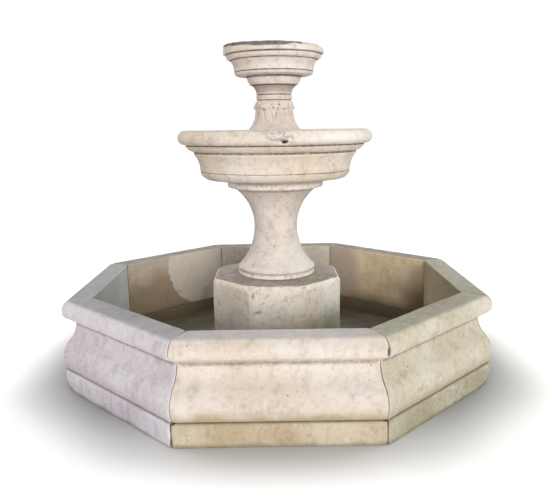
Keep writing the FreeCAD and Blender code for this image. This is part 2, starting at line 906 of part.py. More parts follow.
def top_bowl_outline():
    """Collar, ogee, swelling neck, torus, cove, rounded fillet and an upright lip; dished inside."""
    return [
        (d.pipe_passage_radius, d.stem_head_height + d.tier_bed),
        (d.stem_head_radius, d.stem_head_height + d.tier_bed),
        (d.collar_radius, d.collar_low, d.collar_bend),
        (d.collar_radius, d.collar_high),
        (d.collar_quirk_radius, d.collar_quirk_height, d.collar_bend),
        (d.collar_quirk_radius + d.collar_quirk_splay, d.collar_quirk_height + d.collar_quirk_width),
        (d.ogee_radius, d.ogee_height, -d.ogee_bend),
        (d.neck_low_radius, d.neck_low_height),
        (d.neck_high_radius, d.neck_high_height, d.neck_bend),
        (d.top_torus_inner_radius, d.top_torus_low_height),
        (d.top_torus_radius, d.top_torus_height, d.top_torus_bend),
        (d.top_quirk_radius, d.top_quirk_height),
        (d.top_cove_radius, d.top_cove_height),
        (d.top_cove_head_radius, d.top_cove_head_height, -d.top_cove_bend),
        (d.top_cove_head_radius, d.top_cove_head_height + d.top_cove_band_rise),
        (d.top_fillet_low_radius, d.top_fillet_low_height),
        (d.top_fillet_high_radius, d.top_fillet_high_height, d.top_fillet_bend),
        (d.top_groove_radius, d.top_groove_height),
        (d.top_lip_radius, d.top_lip_height),
        (d.top_rim_radius, d.top_rim_height),
        (d.top_rim_inner_radius, d.top_rim_height),
        (d.top_rim_inner_radius - d.top_rim_bevel, d.top_dish_height),
        (d.top_floor_radius, d.top_floor_height, -d.top_dish_bend),
        (d.top_seat_radius, d.top_seat_height),
        (d.pipe_passage_radius, d.top_seat_height),
    ]


def make_tiers(pins, grille_screws):
    """Block, column, bowls and stem. Returns the mortar beds between them."""
    keep("pedestal_block", cut("pedestal_block_stone", block_blank(), pins, grille_screws))
    outlines = {
        "lower_column": column_outline(),
        "middle_bowl": middle_bowl_outline(),
        "carved_stem": stem_outline(),
        "top_bowl": top_bowl_outline(),
    }
    for name, outline in outlines.items():
        keep(name, cut(f"{name}_stone", turned(f"{name}_body", outline), pins))
    return cut("tier_beds", tier_bed_group(), pins)


# ---------------------------------------------------------------- access grille


def grille_screw_group():
    """Four screws into the back of the block, through the corners of the grille."""
    body = new_body("grille_screws_body")
    x = d.grille_half_width - d.grille_screw_inset
    heights = (d.grille_low + d.grille_screw_inset, d.grille_high - d.grille_screw_inset)
    parts = [
        (d.block_half - d.grille_screw_depth, d.grille_screw_radius,
         d.grille_screw_depth + d.grille_thickness),
        (d.block_half + d.grille_thickness, d.grille_screw_head_radius, d.grille_screw_head_height),
    ]
    for start, radius, length in parts:
        sketch = new_sketch(body, "XZ_Plane", -start)
        for height in heights:
            for side in (1, -1):
                draw_circle(sketch, x * side, height, radius)
        pad(body, sketch, length, reverse=True)
    return body


def make_grille(screws):
    body = new_body("access_grille_body")
    plate = new_sketch(body, "XZ_Plane", -d.block_half)
    draw_outline(plate, rectangle(-d.grille_half_width, d.grille_low, d.grille_half_width, d.grille_high))
    pad(body, plate, d.grille_thickness, reverse=True)
    slots = new_sketch(body, "XZ_Plane")
    low = d.grille_low + d.grille_slot_inset
    high = d.grille_high - d.grille_slot_inset
    for number in range(GRILLE_SLOTS):
        middle = d.grille_slot_pitch * (number - (GRILLE_SLOTS - 1) / 2)
        half = d.grille_slot_width / 2
        draw_outline(slots, rectangle(middle - half, low, middle + half, high))
    pocket(body, slots)
    keep("access_grille", cut("access_grille_plate", body, screws))


# ---------------------------------------------------------------- drain and overflow


def make_drain():
    gasket_top = d.floor_thickness + d.drain_gasket_thickness
    flange_top = gasket_top + d.drain_flange_thickness
    socket = d.standpipe_radius + d.standpipe_clearance
    fitting = [
        (d.drain_bore_radius, 0),
        (d.drain_tail_radius, 0),
        (d.drain_tail_radius, gasket_top),
        (d.drain_flange_radius, gasket_top),
        (d.drain_flange_radius, flange_top),
        (d.drain_collar_radius, flange_top),
        (d.drain_collar_radius, d.drain_collar_top),
        (socket, d.drain_collar_top),
        (socket, d.drain_shoulder_height),
        (d.drain_bore_radius, d.drain_shoulder_height),
    ]
    keep("drain_fitting", turned("drain_fitting_body", fitting, depth=d.drain_offset))
    gasket = rectangle(d.drain_tail_radius, d.floor_thickness, d.drain_flange_radius, gasket_top)
    keep("drain_gasket", turned("drain_gasket_body", gasket, depth=d.drain_offset))
    bore = d.standpipe_radius - d.standpipe_wall
    tube = rectangle(bore, d.drain_shoulder_height, d.standpipe_radius, d.standpipe_top)
    keep("overflow_standpipe", turned("overflow_standpipe_body", tube, depth=d.drain_offset))
    keep("overflow_strainer", overflow_strainer(bore))


def overflow_strainer(bore):
    """A domed cap with slots round its side, plugged into the top of the standpipe."""
    body = new_body("overflow_strainer_body", depth=d.drain_offset)
    sketch = new_sketch(body, "XZ_Plane")
    wall = d.standpipe_wall
    shoulder = d.standpipe_top + d.strainer_cap_side
    outline = [
        (bore - wall, d.standpipe_top - d.strainer_skirt),
        (bore, d.standpipe_top - d.strainer_skirt),
        (bore, d.standpipe_top),
        (d.strainer_cap_radius, d.standpipe_top),
        (d.strainer_cap_radius, shoulder),
        (0, shoulder + d.strainer_dome_rise, d.strainer_dome_bend),
        (0, shoulder),
        (d.strainer_cap_radius - wall, shoulder),
        (d.strainer_cap_radius - wall, d.standpipe_top + wall),
        (bore - wall, d.standpipe_top + wall),
    ]
    draw_outline(sketch, outline)
    spin(body, sketch)
    slot = new_sketch(body, "XZ_Plane")
    draw_outline(slot, rectangle(-wall, d.standpipe_top + wall, wall, shoulder - wall))
    slot_cut = pocket(body, slot)
    repeat_around(body, slot_cut, INTAKE_SLOTS // 2)
    return body


# ---------------------------------------------------------------- submersible pump


def pump_turned(name, *outlines):
    """A piece turned about the pump's own axis. Its heights run back along +Y."""
    return turned(name, *outlines, rotation=ALONG_Y, height=d.pump_axis_height)


def volute_screw_group():
    body = new_body("volute_screws_body", ALONG_Y, d.pump_axis_height)
    front = d.volute_flange_back - d.volute_flange_thickness
    parts = [
        (front - d.volute_screw_head_height, d.volute_screw_head_radius, d.volute_screw_head_height),
        (front, d.volute_screw_radius, d.volute_flange_thickness * 2),
    ]
    offset = d.volute_screw_offset * math.sqrt(0.5)
    for start, radius, length in parts:
        sketch = new_sketch(body, "XY_Plane", start)
        for x_side in (1, -1):
            for y_side in (1, -1):
                draw_circle(sketch, offset * x_side, offset * y_side, radius)
        pad(body, sketch, length)
    return body


def volute_blank():
    """Pump head: flanged casing with an outlet spigot pointing up and a bearing seat at the front."""
    body = new_body("pump_volute_body", ALONG_Y, d.pump_axis_height)
    flange_front = d.volute_flange_back - d.volute_flange_thickness
    outer = [
        (0, -d.volute_front),
        (d.volute_radius - d.volute_nose_round, -d.volute_front),
        (d.volute_radius, -d.volute_front + d.volute_nose_round, d.volute_nose_round),
        (d.volute_radius, flange_front),
        (d.volute_flange_radius, flange_front),
        (d.volute_flange_radius, d.volute_flange_back),
        (0, d.volute_flange_back),
    ]
    section = new_sketch(body, "XZ_Plane")
    draw_outline(section, outer)
    spin(body, section)
    spigot = new_sketch(body, "XZ_Plane")
    draw_circle(spigot, 0, 0, d.spigot_radius)
    pad(body, spigot, d.spigot_length)
    inner_front = -d.volute_front + d.volute_wall
    seat_front = inner_front - d.bush_depth
    groove_floor = d.volute_flange_back - d.gasket_thickness
    hollow = new_sketch(body, "XZ_Plane")
    chamber = [
        (0, seat_front),
        (d.bush_radius, seat_front),
        (d.bush_radius, inner_front),
        (d.volute_chamber_radius, inner_front),
        (d.volute_chamber_radius, d.volute_flange_back),
        (0, d.volute_flange_back),
    ]
    draw_outline(hollow, chamber)
    gasket = rectangle(d.gasket_inner_radius, groove_floor, d.gasket_outer_radius, d.volute_flange_back)
    draw_outline(hollow, gasket)
    spin(body, hollow, "PartDesign::Groove")
    bore = new_sketch(body, "XZ_Plane")
    draw_circle(bore, 0, 0, d.spigot_bore_radius)
    pocket(body, bore, d.spigot_length, reverse=True)
    intake = new_sketch(body, "XY_Plane", inner_front)
    draw_circle(intake, d.intake_hole_offset, 0, d.intake_hole_radius)
    hole = pocket(body, intake)
    repeat_around(body, hole, INTAKE_HOLES)
    return body


def motor_outline():
    """Cup-shaped motor casing with a closed can for the rotor and a bearing seat at the can's end."""
    face = d.volute_flange_back
    flange_back = face + d.volute_flange_thickness
    can_floor = d.can_end - d.can_end_wall
    seat_front = can_floor - d.bush_depth
    bore = d.motor_radius - d.motor_wall
    return [
        (d.can_bore_radius, face),
        (d.volute_flange_radius, face),
        (d.volute_flange_radius, flange_back),
        (d.motor_radius, flange_back),
        (d.motor_radius, d.motor_back),
        (bore, d.motor_back),
        (bore, face + d.motor_front_wall),
        (d.can_radius, face + d.motor_front_wall),
        (d.can_radius, d.can_end),
        (0, d.can_end),
        (0, can_floor),
        (d.bush_radius, can_floor),
        (d.bush_radius, seat_front),
        (d.can_bore_radius, seat_front),
    ]


def rotor():
    """Shaft, sealed magnet and impeller in one turning piece."""
    body = new_body("pump_rotor_body", ALONG_Y, d.pump_axis_height)
    plate_back = d.impeller_back + d.impeller_plate
    outline = [
        (0, -d.shaft_front),
        (d.shaft_radius, -d.shaft_front),
        (d.shaft_radius, -d.impeller_front),
        (d.impeller_hub_radius, -d.impeller_front),
        (d.impeller_hub_radius, d.impeller_back),
        (d.impeller_radius, d.impeller_back),
        (d.impeller_radius, plate_back),
        (d.impeller_hub_radius - d.impeller_hub_step, plate_back),
        (d.impeller_hub_radius - d.impeller_hub_step, d.magnet_front),
        (d.magnet_radius, d.magnet_front),
        (d.magnet_radius, d.magnet_back),
        (d.shaft_radius, d.magnet_back),
        (d.shaft_radius, d.shaft_back),
        (0, d.shaft_back),
    ]
    section = new_sketch(body, "XZ_Plane")
    draw_outline(section, outline)
    spin(body, section)
    vane = new_sketch(body, "XY_Plane", -d.impeller_front)
    half = d.vane_thickness / 2
    root = d.impeller_hub_radius - d.impeller_hub_step
    draw_outline(vane, rectangle(root, -half, d.impeller_radius - d.vane_tip_inset, half))
    blade = pad(body, vane, d.impeller_front + d.impeller_back)
    repeat_around(body, blade, VANES)
    return body


def intake_cage():
    """Slotted cup pushed over the front of the volute."""
    body = new_body("intake_strainer_body", ALONG_Y, d.pump_axis_height)
    wall = d.intake_cage_radius - d.volute_radius
    section = new_sketch(body, "XZ_Plane")
    outline = [
        (0, -d.intake_cage_front),
        (d.intake_cage_radius, -d.intake_cage_front),
        (d.intake_cage_radius, -d.intake_cage_back),
        (d.volute_radius, -d.intake_cage_back),
        (d.volute_radius, -d.intake_cage_front + wall),
        (0, -d.intake_cage_front + wall),
    ]
    draw_outline(section, outline)
    spin(body, section)
    slot = new_sketch(body, "XZ_Plane")
    half = d.intake_slot_width / 2
    draw_outline(slot, rectangle(-half, -d.intake_slot_front, half, -d.intake_slot_back))
    slot_cut = pocket(body, slot)
    repeat_around(body, slot_cut, INTAKE_SLOTS)
    return body


def box(name, width, front, back, low, high):
    """A block centred on X between two depths and two heights."""
    piece = doc.addObject("Part::Box", name)
    bind(piece, "Length", width)
    bind(piece, "Width", back - front)
    bind(piece, "Height", high - low)
    bind(piece, "Placement.Base.x", -width / 2)
    bind(piece, "Placement.Base.y", front)
    bind(piece, "Placement.Base.z", low)
    return piece


def cradle():
    """Foot plate with a saddle shaped to the motor casing."""
    low = d.floor_thickness + d.pump_foot_height
    plate = box("cradle_plate", d.cradle_width, -d.cradle_front, d.cradle_back, low, low + d.cradle_thickness)
    saddle = box(
        "cradle_saddle", d.saddle_width, d.saddle_front, d.cradle_back - d.saddle_inset,
        low + d.cradle_thickness, d.saddle_top,
    )
    joined = doc.addObject("Part::Fuse", "cradle_blank")
    joined.Base = plate
    joined.Tool = saddle
    casing = doc.addObject("Part::Cylinder", "cradle_hollow")
    bind(casing, "Radius", d.motor_radius)
    bind(casing, "Height", d.cradle_back * 2)
    casing.Placement = FreeCAD.Placement(FreeCAD.Vector(), ALONG_Y)
    bind(casing, "Placement.Base.z", d.pump_axis_height)
    return cut("pump_cradle_piece", joined, casing)


def rubber_feet():
    body = new_body("pump_feet_body")
    sketch = new_sketch(body, "XY_Plane", d.floor_thickness)
    x = d.cradle_width / 2 - d.pump_foot_inset
    for y in (d.pump_foot_inset - d.cradle_front, d.cradle_back - d.pump_foot_inset):
        for side in (1, -1):
            draw_circle(sketch, x * side, y, d.pump_foot_radius)
    pad(body, sketch, d.pump_foot_height)
    return body


def cable():
    """Runs back out of the gland, bends down and leaves through the conduit in the floor."""
    body = new_body("power_cable_body")
    path = new_sketch(body, "YZ_Plane")
    start, corner = d.cable_start, d.conduit_offset - d.cable_bend
    height, drop = d.pump_axis_height, d.pump_axis_height - d.cable_bend
    points = [
        (start, height),
        (corner, height),
        (d.conduit_offset, drop),
        (d.conduit_offset, d.cable_end_height),
    ]
    vectors = [FreeCAD.Vector(y.value, z.value, 0) for y, z in points]
    path.addGeometry(Part.LineSegment(vectors[0], vectors[1]))
    path.addGeometry(arc_geometry(vectors[1], vectors[2], -d.cable_bend.value))
    path.addGeometry(Part.LineSegment(vectors[2], vectors[3]))
    path.addConstraint(Sketcher.Constraint("Coincident", 0, 2, 1, 2))
    path.addConstraint(Sketcher.Constraint("Coincident", 1, 1, 2, 1))
    radius = path.addConstraint(Sketcher.Constraint("Radius", 1, d.cable_bend.value))
    bind(path, f"Constraints[{radius}]", d.cable_bend)
    pin_point(path, 0, 1, *points[0])
    pin_point(path, 0, 2, *points[1])
    pin_point(path, 2, 1, *points[2])
    pin_point(path, 2, 2, *points[3])
    ring = new_sketch(body, "XZ_Plane", -d.cable_start)
    draw_circle(ring, 0, d.pump_axis_height, d.cable_radius)
    sweep = body.newObject("PartDesign::AdditivePipe", "power_cable_sweep")
    sweep.Profile = ring
    sweep.Spine = path
    return body


def make_pump():
    screws = volute_screw_group()
    keep("volute_screws", screws)
    keep("pump_volute", cut("pump_volute_casting", volute_blank(), screws))
    keep("pump_motor_housing", cut("pump_motor_casing", pump_turned("motor_body", motor_outline()), screws))
    stator = rectangle(d.stator_inner_radius, d.stator_front, d.stator_outer_radius, d.stator_back)
    keep("pump_stator", pump_turned("pump_stator_body", stator))
    cap_plug = d.motor_radius - d.motor_wall
    cap_back = d.motor_back + d.rear_cap_thickness
    rear_cap = [
        (d.gland_hole_radius, d.motor_back - d.rear_cap_plug),
        (cap_plug, d.motor_back - d.rear_cap_plug),
        (cap_plug, d.motor_back),
        (d.motor_radius, d.motor_back),
        (d.motor_radius, cap_back),
        (d.gland_hole_radius, cap_back),
    ]
    keep("pump_rear_cap", pump_turned("pump_rear_cap_body", rear_cap))
    gland = [
        (d.cable_hole_radius, d.cable_start),
        (d.gland_hole_radius, d.cable_start),
        (d.gland_hole_radius, cap_back),
        (d.gland_radius, cap_back),
        (d.gland_radius, cap_back + d.gland_length - d.gland_nose_length),
        (d.gland_hole_radius, cap_back + d.gland_length),
        (d.cable_hole_radius, cap_back + d.gland_length),
    ]
    keep("cable_gland", pump_turned("cable_gland_body", gland))
    seal_front = d.volute_flange_back - d.gasket_thickness
    seal = rectangle(d.gasket_inner_radius, seal_front, d.gasket_outer_radius, d.volute_flange_back)
    keep("volute_seal", pump_turned("volute_seal_body", seal))
    keep("pump_rotor", rotor())
    front_seat = d.volute_wall - d.volute_front
    back_seat = d.can_end - d.can_end_wall
    front = rectangle(d.bush_bore_radius, front_seat - d.bush_depth, d.bush_radius, front_seat - d.bush_play)
    back_low = back_seat - d.bush_depth + d.bush_play
    back = rectangle(d.bush_bore_radius, back_low, d.bush_radius, back_seat - d.bush_play)
    keep("rotor_bushings", pump_turned("rotor_bushings_body", front, back))
    keep("intake_strainer", intake_cage())
    keep("pump_cradle", cradle())
    keep("pump_feet", rubber_feet())
    keep("power_cable", cable())


def make_cable_entry():
    sleeve = rectangle(d.conduit_bore_radius, 0, d.conduit_radius, d.conduit_top)
    keep("cable_conduit", turned("cable_conduit_body", sleeve, depth=d.conduit_offset))
    plug = [
        (d.cable_hole_radius, d.conduit_top - d.conduit_plug_depth),
        (d.conduit_bore_radius, d.conduit_top - d.conduit_plug_depth),
        (d.conduit_bore_radius, d.conduit_top),
        (d.conduit_radius, d.conduit_top),
        (d.conduit_radius, d.conduit_top + d.conduit_plug_lip),
        (d.cable_hole_radius, d.conduit_top + d.conduit_plug_lip),
    ]
    keep("conduit_plug", turned("conduit_plug_body", plug, depth=d.conduit_offset))


# ---------------------------------------------------------------- hose, valve and riser


def hose_clamp_group():
    """Two band clamps, each with its screw block on the right."""
    body = new_body("hose_clamps_body")
    outer = d.hose_radius + d.clamp_thickness
    for low in (d.hose_low + d.clamp_inset, d.hose_high - d.clamp_inset - d.clamp_width):
        block = new_sketch(body, "XY_Plane", low)
        half = d.clamp_screw_block / 2
        near = d.hose_radius + d.clamp_screw_gap
        draw_outline(block, rectangle(near, -half, outer + d.clamp_screw_block, half))
        pad(body, block, d.clamp_width)
        ring = new_sketch(body, "XY_Plane", low)
        draw_circle(ring, 0, 0, outer)
        pad(body, ring, d.clamp_width)
        opening = new_sketch(body, "XY_Plane", low)
        draw_circle(opening, 0, 0, d.hose_radius)
        pocket(body, opening, d.clamp_width, reverse=True)
    return body


def valve_body():
    """Hose tail, round ball chamber, pipe socket on top and a boss for the stem at the back."""
    body = new_body("valve_body_body")
    cavity = d.ball_cavity_half_mouth
    outline = [
        (d.spigot_bore_radius, d.valve_low),
        (d.spigot_radius, d.valve_low),
        (d.spigot_radius, d.valve_shoulder),
        (d.valve_neck_radius, d.valve_shoulder),
        (d.valve_neck_radius, d.valve_neck_top, d.valve_body_bend),
        (d.valve_socket_radius, d.valve_neck_top + d.valve_neck_step),
        (d.valve_socket_radius, d.valve_top),
        (d.riser_radius, d.valve_top),
        (d.riser_radius, d.valve_socket_floor),
        (d.spigot_bore_radius, d.valve_socket_floor),
        (d.spigot_bore_radius, d.valve_height + cavity),
        (d.spigot_bore_radius, d.valve_height - cavity, -d.ball_cavity_radius),
    ]
    section = new_sketch(body, "XZ_Plane")
    draw_outline(section, outline)
    spin(body, section)
    boss = new_sketch(body, "XZ_Plane", -d.valve_boss_start)
    draw_circle(boss, 0, d.valve_height, d.valve_boss_radius)
    pad(body, boss, d.valve_boss_end - d.valve_boss_start, reverse=True)
    hole = new_sketch(body, "XZ_Plane")
    draw_circle(hole, 0, d.valve_height, d.stem_hole_radius)
    pocket(body, hole)
    return body


def lever_body():
    """Stem through the boss with the lever bar across its end."""
    body = new_body("valve_lever_body")
    stem = new_sketch(body, "XZ_Plane", -d.valve_stem_start)
    draw_circle(stem, 0, d.valve_height, d.valve_stem_radius)
    pad(body, stem, d.lever_start + d.lever_thickness - d.valve_stem_start, reverse=True)
    bar = new_sketch(body, "XZ_Plane", -d.lever_start)
    half = d.lever_half_width
    bar_low = d.valve_height - half
    bar_high = d.valve_height + d.lever_length - half
    outline = [(half, bar_low), (half, bar_high), (-half, bar_high), (-half, bar_low)]
    draw_outline(bar, outline)
    pad(body, bar, d.lever_thickness, reverse=True)
    return body


def lever_grip(lever):
    """Soft sleeve over the outer part of the lever bar."""
    body = new_body("lever_grip_blank")
    sleeve = new_sketch(body, "XZ_Plane", -(d.lever_start - d.grip_skin))
    half = d.lever_half_width + d.grip_skin
    low = d.valve_height + d.grip_start
    high = d.valve_height + d.lever_length
    draw_outline(sleeve, rectangle(-half, low, half, high))
    pad(body, sleeve, d.lever_thickness + d.grip_skin * 2, reverse=True)
    return cut("lever_grip_sleeve", body, lever)


def valve_ball(lever):
    """Ball with its waterway upright when open, slotted for the stem."""
    ball = doc.addObject("Part::Sphere", "valve_ball_blank")
    bind(ball, "Radius", d.ball_radius)
    bind(ball, "Placement.Base.z", d.valve_height)
    way = doc.addObject("Part::Cylinder", "valve_ball_way")
    bind(way, "Radius", d.spigot_bore_radius)
    bind(way, "Height", d.ball_radius * 2)
    bind(way, "Placement.Base.z", d.valve_height - d.ball_radius)
    return cut("valve_ball_piece", ball, way, lever)


def gland_nut():
    body = new_body("valve_gland_nut_body")
    sketch = new_sketch(body, "XZ_Plane", -d.valve_boss_end)
    draw_circle(sketch, 0, d.valve_height, d.valve_boss_radius - d.gland_nut_step)
    draw_circle(sketch, 0, d.valve_height, d.stem_hole_radius)
    pad(body, sketch, d.gland_nut_end - d.valve_boss_end, reverse=True)
    return body


def make_riser():
    hose = rectangle(d.spigot_radius, d.hose_low, d.hose_radius, d.hose_high)
    keep("delivery_hose", turned("delivery_hose_body", hose))
    keep("hose_clamps", hose_clamp_group())
    keep("valve_body", valve_body())
    lever = lever_body()
    keep("valve_lever", lever)
    keep("valve_ball", valve_ball(lever))
    keep("lever_grip", lever_grip(lever))
    keep("valve_gland_nut", gland_nut())
    bore = d.riser_radius - d.riser_wall
    keep("riser_pipe", turned("riser_pipe_body", rectangle(bore, d.riser_low, d.riser_radius, d.riser_top)))
    nut = rectangle(d.riser_radius, d.valve_top, d.riser_nut_radius, d.valve_top + d.riser_nut_height)
    keep("riser_nut", turned("riser_nut_body", nut))
    gasket_top = d.top_seat_height + d.bowl_gasket_thickness
    gasket = rectangle(d.riser_radius, d.top_seat_height, d.bowl_gasket_radius, gasket_top)
    keep("top_bowl_gasket", turned("top_bowl_gasket_body", gasket))
    flange_top = gasket_top + d.bowl_flange_thickness
    flange = [
        (d.riser_radius, gasket_top),
        (d.bowl_flange_radius, gasket_top),
        (d.bowl_flange_radius, flange_top),
        (d.bowl_hub_radius, flange_top),
        (d.bowl_hub_radius, flange_top + d.bowl_hub_height),
        (d.riser_radius, flange_top + d.bowl_hub_height),
    ]
    keep("top_bowl_flange", turned("top_bowl_flange_body", flange))
    nozzle = [
        (d.riser_radius, d.nozzle_low),
        (d.nozzle_radius, d.nozzle_low),
        (d.nozzle_radius, d.nozzle_shoulder),
        (d.nozzle_throat_radius + d.nozzle_lip, d.nozzle_top),
        (d.nozzle_throat_radius, d.nozzle_top),
        (d.nozzle_throat_radius, d.riser_top),
        (d.riser_radius, d.riser_top),
    ]
    keep("bubbler_nozzle", turned("bubbler_nozzle_body", nozzle))


# ---------------------------------------------------------------- whole fountain


def check_and_write():
    doc.recompute()
    for thing in doc.Objects:
        if "Invalid" in thing.State or "Error" in thing.State:
            raise RuntimeError(f"{thing.Name} did not build: {thing.State}")
    os.makedirs("parts", exist_ok=True)
    for name, piece in nodes.items():
        if piece.Shape.isNull() or not piece.Shape.isValid():
            raise RuntimeError(f"{name} has no valid shape")
        piece.Shape.exportStep(f"parts/{name}.step")


def main():
    make_sheet()
    wall_pins = curb_dowel_group()
    tier_pins = tier_dowel_group()
    grille_pins = grille_screw_group()
    wall_bed = make_wall(wall_pins)
    make_floor()
    tier_beds = make_tiers(tier_pins, grille_pins)
    keep("bed_mortar", grouped("bed_joints", wall_bed, tier_beds))
    keep("dowels", grouped("dowel_group", wall_pins, tier_pins))
    keep("grille_screws", grille_pins)
    make_grille(grille_pins)
    make_drain()
    make_pump()
    make_cable_entry()
    make_riser()
    check_and_write()


main()
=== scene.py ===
import math

import bmesh
import bpy
import numpy as np
from mathutils import Matrix, Vector


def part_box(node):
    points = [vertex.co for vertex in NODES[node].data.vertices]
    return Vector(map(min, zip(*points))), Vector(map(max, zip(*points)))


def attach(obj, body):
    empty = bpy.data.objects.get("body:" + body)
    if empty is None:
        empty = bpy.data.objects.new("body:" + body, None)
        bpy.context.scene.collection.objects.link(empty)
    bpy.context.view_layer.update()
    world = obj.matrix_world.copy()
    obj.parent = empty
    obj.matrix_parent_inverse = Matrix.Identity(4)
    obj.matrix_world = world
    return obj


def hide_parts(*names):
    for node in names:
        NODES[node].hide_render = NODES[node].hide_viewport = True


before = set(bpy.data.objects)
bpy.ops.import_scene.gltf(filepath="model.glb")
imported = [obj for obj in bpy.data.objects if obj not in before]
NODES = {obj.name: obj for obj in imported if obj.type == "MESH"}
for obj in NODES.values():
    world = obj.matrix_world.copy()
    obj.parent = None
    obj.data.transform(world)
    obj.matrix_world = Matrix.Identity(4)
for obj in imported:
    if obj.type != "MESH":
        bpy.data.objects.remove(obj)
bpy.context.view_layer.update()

# Tiered limestone fountain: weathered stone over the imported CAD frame. Metres, +Z up, the front faces -Y.

# Half the length of an octagon's side over half its width.
MITRE = math.tan(math.radians(22.5))
# Turned stones are cut here for their outline, away from the dowels.
TURNED_ANGLE = 37
# Every outside stone colour is multiplied by this.
TONE = (0.785, 0.8, 0.878, 1)

POOL_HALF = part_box("curb_right")[0].x
PLINTH_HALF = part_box("plinth_right")[1].x
PLINTH_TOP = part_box("plinth_front")[1].z
CURB_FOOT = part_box("curb_front")[0].z
WALL_BED = (PLINTH_TOP + CURB_FOOT) / 2
# Closer to +Z than this the bed joint of the wall is out of sight.
BED_HIDDEN = 1.19
BLOCK_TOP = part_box("pedestal_block")[1].z
COLUMN_FOOT, COLUMN_HEAD = (corner.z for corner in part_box("lower_column"))
BOWL_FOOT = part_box("middle_bowl")[0].z
# Closer than this a turned stone is only its pipe passage.
PASSAGE = 0.05
# Half the gap between two wall stones, and the measure of the steps beside it.
HALF_GAP = 0.0022


# -------- noise


def hashed(cells, seed):
    """A repeatable number from 0 to 1 for every row of whole-number cells."""
    c = cells.astype(np.int64).astype(np.uint32)
    n = c[..., 0] * np.uint32(374761393) + c[..., 1] * np.uint32(668265263)
    n = n + c[..., 2] * np.uint32(2246822519) + np.uint32(seed * 40503 + 17)
    n = (n ^ (n >> np.uint32(15))) * np.uint32(2246822519)
    n = (n ^ (n >> np.uint32(13))) * np.uint32(3266489917)
    return (n ^ (n >> np.uint32(16))).astype(np.float64) / 4294967295


def noise(points, size, seed):
    """Smooth noise from -1 to 1 with lumps about size across."""
    p = points / size + 512
    base = np.floor(p)
    f = p - base
    u = f * f * f * (f * (f * 6 - 15) + 10)
    total = np.zeros(len(points))
    for corner in ((x, y, z) for x in (0, 1) for y in (0, 1) for z in (0, 1)):
        weight = np.ones(len(points))
        for axis, far in enumerate(corner):
            weight = weight * (u[:, axis] if far else 1 - u[:, axis])
        total += weight * hashed(base + np.array(corner), seed)
    return total * 2 - 1


def fractal(points, size, seed, octaves=3):
    """Noise with finer and weaker noise on top of it, from -1 to 1."""
    total, share, whole = 0, 1, 0
    for step in range(octaves):
        total = total + share * noise(points, size / 2**step, seed + step)
        whole += share
        share *= 0.5
    return total / whole


def ease(x, low, high):
    """0 below low, 1 above high, smooth between."""
    t = np.clip((x - low) / (high - low), 0, 1)
    return t * t * (3 - 2 * t)


# -------- outlines cut from the CAD


def chained(edges):
    """Loops of vertices from edges that meet end to end."""
    left = {edge.index: edge for edge in edges}
    while left:
        edge = left.pop(min(left))
        loop = [edge.verts[0], edge.verts[1]]
        while onward := [e for e in loop[-1].link_edges if e.index in left]:
            left.pop(onward[0].index)
            loop.append(onward[0].other_vert(loop[-1]))
        yield loop


def section(node, angle, offset=0):
    """Outline of a CAD node on a plane beside +Z, turned by angle degrees and moved sideways by offset."""
    bm = bmesh.new()
    bm.from_mesh(NODES[node].data)
    bmesh.ops.transform(bm, matrix=Matrix.Rotation(-math.radians(angle), 4, "Z"), verts=bm.verts)
    bmesh.ops.remove_doubles(bm, verts=bm.verts, dist=1e-5)
    everything = bm.verts[:] + bm.edges[:] + bm.faces[:]
    plane = dict(plane_co=(0, offset, 0), plane_no=(0, 1, 0), clear_inner=True, clear_outer=True)
    bmesh.ops.bisect_plane(bm, geom=everything, **plane)
    bm.edges.index_update()
    outlines = [np.array([(v.co.x, v.co.z) for v in loop]) for loop in chained(bm.edges) if len(loop) > 3]
    bm.free()
    one_side = [points for points in outlines if points[:, 0].min() > 0]
    return max(one_side, key=lambda points: abs(signed_area(points)))


def signed_area(points):
    """Area inside a closed outline, negative when it runs clockwise."""
    x, y = points[:, 0], points[:, 1]
    return 0.5 * float(np.sum(x * np.roll(y, -1) - np.roll(x, -1) * y))


def blurred(values, width):
    """Columns of values round a closed outline, smoothed over width steps."""
    pitch = np.fft.fftfreq(len(values))
    gain = np.exp(-2 * (math.pi * width * pitch) ** 2)
    return np.fft.ifft(np.fft.fft(values, axis=0) * gain[:, None], axis=0).real


OUTLINE_STEP = 0.0008


def evenly_spaced(outline):
    """The closed outline with a point every OUTLINE_STEP, anticlockwise."""
    if signed_area(outline) < 0:
        outline = outline[::-1]
    closed = np.vstack([outline, outline[:1]])
    travel = np.concatenate([[0], np.cumsum(np.hypot(*np.diff(closed, axis=0).T))])
    at = np.linspace(0, travel[-1], int(travel[-1] / OUTLINE_STEP), endpoint=False)
    return np.column_stack([np.interp(at, travel, closed[:, k]) for k in (0, 1)])


